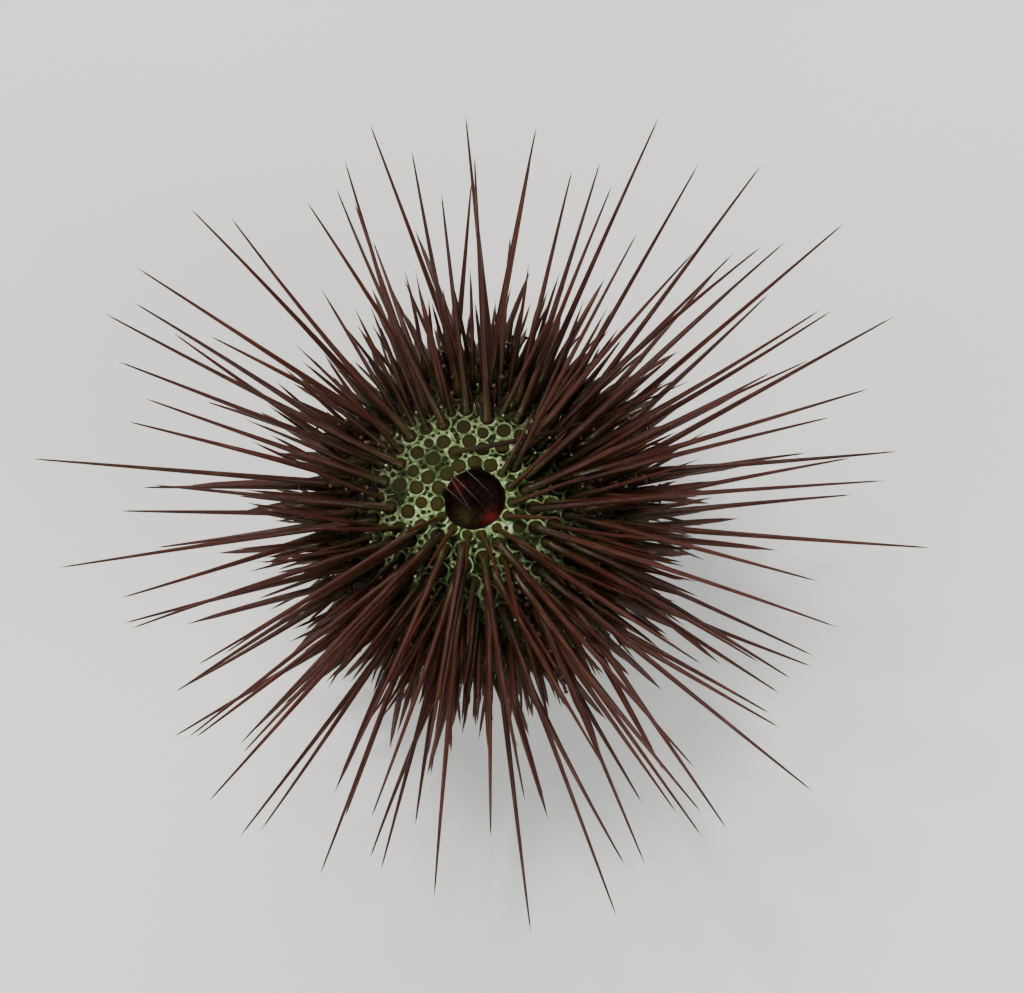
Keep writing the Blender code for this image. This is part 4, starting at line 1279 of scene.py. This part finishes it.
class Wire:
    """An output socket that takes part in Python expressions, each of which adds a Math node."""

    def __init__(self, finish, socket):
        self.finish, self.socket = finish, socket

    def math(self, operation, first, second):
        return self.finish.node("ShaderNodeMath", {"operation": operation}, {0: first, 1: second})

    def __add__(self, other):
        return self.math("ADD", self, other)

    def __sub__(self, other):
        return self.math("SUBTRACT", self, other)

    def __rsub__(self, other):
        return self.math("SUBTRACT", other, self)

    def __mul__(self, other):
        return self.math("MULTIPLY", self, other)

    __radd__ = __add__
    __rmul__ = __mul__


class Finish:
    """A material whose nodes are made from Python expressions. Scales are in cells to the metre."""

    def __init__(self, name):
        self.material = bpy.data.materials.new(name)
        self.material.use_nodes = True
        self.tree = self.material.node_tree
        self.shader = self.tree.nodes["Principled BSDF"]

    def node(self, kind, settings=None, values=None, output=0):
        """Adds a node: its settings first, then the values or wires of its inputs."""
        made = self.tree.nodes.new(kind)
        for name, value in (settings or {}).items():
            if name == "stops":
                elements = made.color_ramp.elements
                while len(elements) < len(value):
                    elements.new(0.5)  # somewhere on the ramp: its own place is set below
                for element, (place, colour) in zip(elements, value):
                    element.position = place
                    element.color = (*colour, 1)
            else:
                setattr(made, name, value)
        for key, value in (values or {}).items():
            self.feed(made.inputs[key], value)
        return Wire(self, made.outputs[output])

    def feed(self, socket, value):
        if isinstance(value, Wire):
            self.tree.links.new(value.socket, socket)
        elif socket.type == "RGBA":
            socket.default_value = (*value, 1)
        else:
            socket.default_value = value

    def layer(self, name, output="Fac"):
        """A layer of the mesh, read by its name."""
        return self.node("ShaderNodeAttribute", {"attribute_name": name}, output=output)

    def noise(self, scale, detail=3.0, roughness=0.5, where=None):
        where = where or self.node("ShaderNodeTexCoord", output="Object")
        values = {"Vector": where, "Scale": scale, "Detail": detail, "Roughness": roughness}
        return self.node("ShaderNodeTexNoise", None, values)

    def ramp(self, factor, *stops):
        return self.node("ShaderNodeValToRGB", {"stops": stops}, {0: factor})

    def mix(self, factor, first, second):
        settings = {"data_type": "RGBA", "blend_type": "MIX", "clamp_factor": True}
        return self.node("ShaderNodeMix", settings, {0: factor, 6: first, 7: second}, output=2)

    def span(self, value, low, high, to_low=0.0, to_high=1.0):
        """Smooth step of a value from one span to another."""
        values = {0: value, 1: low, 2: high, 3: to_low, 4: to_high}
        return self.node("ShaderNodeMapRange", {"interpolation_type": "SMOOTHSTEP"}, values)

    def bump(self, height, strength, distance):
        values = {"Strength": strength, "Distance": distance, "Height": height}
        return self.node("ShaderNodeBump", None, values)

    def done(self, **values):
        """Feeds the shader's own sockets, named with underscores for spaces."""
        for name, value in values.items():
            self.feed(self.shader.inputs[name.replace("_", " ")], value)
        return self.material


def needle_finish():
    """Spines: olive at the root and maroon along the shaft, with paler streaks, painted highlights and
    painted shade. The stray one is darker.
    """
    finish = Finish("maroon_needle")
    along, root, shade = (finish.layer(name) for name in ("along", "root", "shade"))
    grain = finish.noise(2.6, 3.0, 0.6, finish.layer("grain", "Vector"))
    blotch = finish.noise(330.0, 3.0, 0.55)
    # Along the spine: its own tones, with painted shade darkening it towards the root
    shaft = finish.ramp(along, *NEEDLE_TONES_AND_SHADE)
    varied = finish.mix(finish.span(blotch, 0.42, 0.72) * 0.25, shaft, NEEDLE_BLOTCH)
    toned = finish.mix(shade * 0.5, varied, NEEDLE_DARK)
    rooted = finish.mix(root * 0.75, toned, NEEDLE_ROOT)
    # Pale streaks, partly the spines' own striations and partly painted highlights, fewer on the stray
    streaks = finish.span(grain, 0.56, 0.72) * finish.span(shade, 1.0, STRAY_SHADE, 0.38, 0.06)
    lined = finish.mix(streaks, rooted, NEEDLE_STREAK_AND_HIGHLIGHT)
    # Painted shade in the grooves, where the grain's bump sinks
    groove_shaded = finish.mix(finish.span(grain, 0.47, 0.32) * 0.7, lined, NEEDLE_GROOVE_SHADE)
    dullness = finish.span(shade, 1.0, STRAY_SHADE, 0.27, 0.7)
    return finish.done(
        Base_Color=groove_shaded, Roughness=dullness + grain * 0.2, Specular_IOR_Level=0.16,
        Normal=finish.bump(grain, 0.55, 0.12 * MM),
    )


def skin_finish():
    """Skin: olive discs with dark rims that are partly painted shade, pale green collars with painted
    highlights, and dark green between them and in pits.
    """
    finish = Finish("laced_skin")
    layers = (finish.layer(name) for name in ("edge", "parting", "pit", "dome", "pale", "rim"))
    edge, parting, pit, dome, pale, rim = layers
    fine = finish.noise(2600.0, 3.0, 0.6)
    mottle = finish.noise(900.0, 3.0, 0.6)
    broad = finish.noise(210.0, 2.0, 0.5)
    patchy = finish.noise(430.0, 2.0, 0.5)
    ragged = edge + (fine - 0.5) * 0.09
    width = finish.span(mottle, 0.3, 0.7, 0.14, 0.3)
    collar = finish.span(ragged, 0.0, 0.035) * (1 - finish.span(ragged - width, -0.025, 0.035))
    web = finish.span(mottle + (broad - 0.5) * 0.5, 0.44, 0.56) * finish.span(ragged, 0.0, 0.035)
    seam = finish.span(parting + (mottle - 0.5) * 0.16, 0.0, 0.07)
    hole = finish.span(pit + (fine - 0.5) * 0.1, -0.02, 0.04)
    lace = finish.node("ShaderNodeMath", {"operation": "MAXIMUM"}, {0: collar, 1: web * 0.85}) * seam * hole
    ground = finish.mix(broad, GROUND_DARK, GROUND_BROWN)
    # Painted violet glints, in specks over the ground
    ground = finish.mix(finish.span(mottle, 0.62, 0.72) * 0.7, ground, GROUND_VIOLET_GLINT)
    between = finish.mix(pale, ground, GROUND_GREEN)
    # The fine spread from deep to pale lace is partly its own tone and partly painted highlights, and its
    # palest spots are painted highlights
    laced = finish.mix(finish.span(fine, 0.36, 0.74), LACE_DEEP, LACE_PALE)
    laced = finish.mix(finish.span(mottle, 0.6, 0.74), laced, LACE_HIGHLIGHT)
    strength = finish.span(broad, 0.25, 0.6, 0.6, 1.0) * finish.span(patchy, 0.4, 0.52, 0.12, 1.0)
    colour = finish.mix(lace * pale * strength, between, laced)
    # Discs darken towards their rims, partly in their own tone and partly as painted shade under the collars
    middle = finish.span(dome, 0.2, 0.85) * finish.span(patchy, 0.35, 0.62, 0.3, 1.0)
    olive = finish.mix(middle, DISC_EDGE_AND_SHADE, DISC_OLIVE)
    disc = finish.mix(pale, DISC_BROWN, olive)
    colour = finish.mix(finish.span(edge, -0.035, 0.015), disc, colour)
    colour = finish.mix(finish.span(rim + (patchy - 0.5) * 1.6, 0.0, 0.12), HOLE_RIM, colour)
    return finish.done(
        Base_Color=colour, Roughness=0.6 + mottle * 0.25, Specular_IOR_Level=0.07,
        Normal=finish.bump(fine, 0.35, 0.06 * MM),
    )


def field_finish():
    """Anal field: near-black maroon plates, redder on two sides and olive on another. Its blackness is partly
    painted shade and its red partly painted light.
    """
    finish = Finish("dark_field")
    dome, red, olive = (finish.layer(name) for name in ("dome", "red", "olive"))
    fine = finish.noise(2200.0, 3.0, 0.6)
    # Near black, partly the field's own colour and partly painted shade of its deep bowl
    base = finish.mix(finish.span(dome, 0.2, 0.8), FIELD_HOLLOW, FIELD_PLATE)
    # Red patches: partly the field's own red and partly painted light on its bowl's lit wall
    reddened_and_lit = finish.mix(red * finish.span(fine, 0.25, 0.7, 0.35, 1.0), base, FIELD_RED_AND_LIT_WALL)
    bronzed = finish.mix(olive * finish.span(fine, 0.3, 0.7, 0.3, 0.9), reddened_and_lit, FIELD_OLIVE)
    return finish.done(
        Base_Color=bronzed, Roughness=0.5 + fine * 0.25, Specular_IOR_Level=0.03,
        Normal=finish.bump(fine, 0.3, 0.05 * MM),
    )


def soft_finish(name, tones, dullness):
    """Feet, bristles and pincers: one tint along the stalk and another at the end, with fine specks."""
    finish = Finish(name)
    tint, tip, speck = tones
    along, shade = finish.layer("along"), finish.layer("shade")
    fine = finish.noise(3000.0, 3.0, 0.6)
    ends = finish.mix(finish.span(along, 0.62, 0.8), tint, tip)
    toned = finish.mix(shade * 0.5, ends, tuple(0.45 * value for value in tint))
    specked = finish.mix(finish.span(fine, 0.5, 0.7) * 0.5, toned, speck)
    return finish.done(
        Base_Color=specked, Roughness=dullness + fine * 0.2, Specular_IOR_Level=0.2,
        Normal=finish.bump(fine, 0.25, 0.04 * MM),
    )


def plated_finish(name, tones):
    """Mouth skin and lip: paler on the plates or folds than between them, with specks."""
    finish = Finish(name)
    hollow, top, speck = tones
    dome = finish.layer("dome")
    fine = finish.noise(2400.0, 4.0, 0.6)
    base = finish.mix(finish.span(dome, 0.1, 0.8), hollow, top)
    specked = finish.mix(finish.span(fine, 0.52, 0.7) * 0.6, base, speck)
    bumped = finish.bump(fine, 0.4, 0.08 * MM)
    return finish.done(Base_Color=specked, Roughness=0.42 + fine * 0.25, Normal=bumped)


def tooth_finish():
    """Teeth: ivory, browner at the root, with a hard polish."""
    finish = Finish("ivory_tooth")
    along, grain = finish.layer("along"), finish.noise(2.2, 3.0, 0.6, finish.layer("grain", "Vector"))
    ivory = finish.ramp(along, *TOOTH_TONES)
    lined = finish.mix(finish.span(grain, 0.5, 0.75) * 0.35, ivory, TOOTH_STREAK)
    bumped = finish.bump(grain, 0.2, 0.05 * MM)
    return finish.done(Base_Color=lined, Roughness=0.22 + grain * 0.2, Normal=bumped)


def floor_finish():
    """Floor: pale and dull."""
    finish = Finish("pale_floor")
    return finish.done(Base_Color=FLOOR_TONE, Roughness=0.85, Specular_IOR_Level=0.1)


def floor():
    """The plain floor, which isn't part of the animal."""
    bm = bmesh.new()
    bmesh.ops.create_grid(bm, x_segments=1, y_segments=1, size=FLOOR_REACH)
    mesh = bpy.data.meshes.new("floor")
    bm.to_mesh(mesh)
    bm.free()
    mesh.materials.append(floor_finish())
    linked("floor", mesh)


def aimed(thing, place, target, up):
    """Stands an object at a place, looking down its own -Z at the target."""
    back = (place - target).normalized()
    right = up.cross(back).normalized()
    turn = Matrix((right, back.cross(right), back)).transposed()
    thing.matrix_world = Matrix.Translation(place) @ turn.to_4x4()


def camera():
    """The camera, which looks down on the crown as the photograph does."""
    data = bpy.data.cameras.new("camera")
    data.lens, data.shift_x, data.shift_y = LENS, *SHIFT
    data.clip_start = CAMERA_NEAR
    thing = linked("camera", data)
    back = bearing(CAMERA_BEARING - math.pi / 2, CAMERA_TILT)
    target = AXIS + Vector((0, 0, CAMERA_TARGET_HEIGHT))
    aimed(thing, target + back * CAMERA_DISTANCE, target, Vector((0, 1, 0)))
    bpy.context.scene.camera = thing


def light():
    """Soft studio light: far lamps on all sides, and a pale sky."""
    for name, place, width, strength, colour in LAMPS:
        data = bpy.data.lights.new(name, "SUN")
        data.angle, data.energy, data.color = width, strength, colour
        aimed(linked(name, data), Vector(place), LAMP_TARGET, LAMP_UP)
    world = bpy.data.worlds.new("world")
    world.use_nodes = True
    sky = world.node_tree.nodes["Background"].inputs
    sky["Color"].default_value = (*SKY_TONE, 1)
    sky["Strength"].default_value = SKY_STRENGTH
    bpy.context.scene.world = world


spines = settled_spines()
bases = skin_bases(spines)
laced_skin(bases, skin_finish())
spines.append(stray_spine(bases, spines))
needle = needle_finish()
grow_spines(spines, needle)
grow_fill(fill_spines(bases, spines), needle)
foot = soft_finish("dark_foot", FOOT_TONES, 0.35)
grow_spinelets(soft_finish("brown_spinelet", SPINELET_TONES, 0.4))
grow_feet(foot)
grow_small_things(bases, soft_finish("pale_bristle", BRISTLE_TONES, 0.4))
anal_field(field_finish())
mouth(plated_finish("plated_mouth", MOUTH_TONES), foot)
jaws(plated_finish("folded_lip", LIP_TONES), tooth_finish())
floor()
camera()
light()
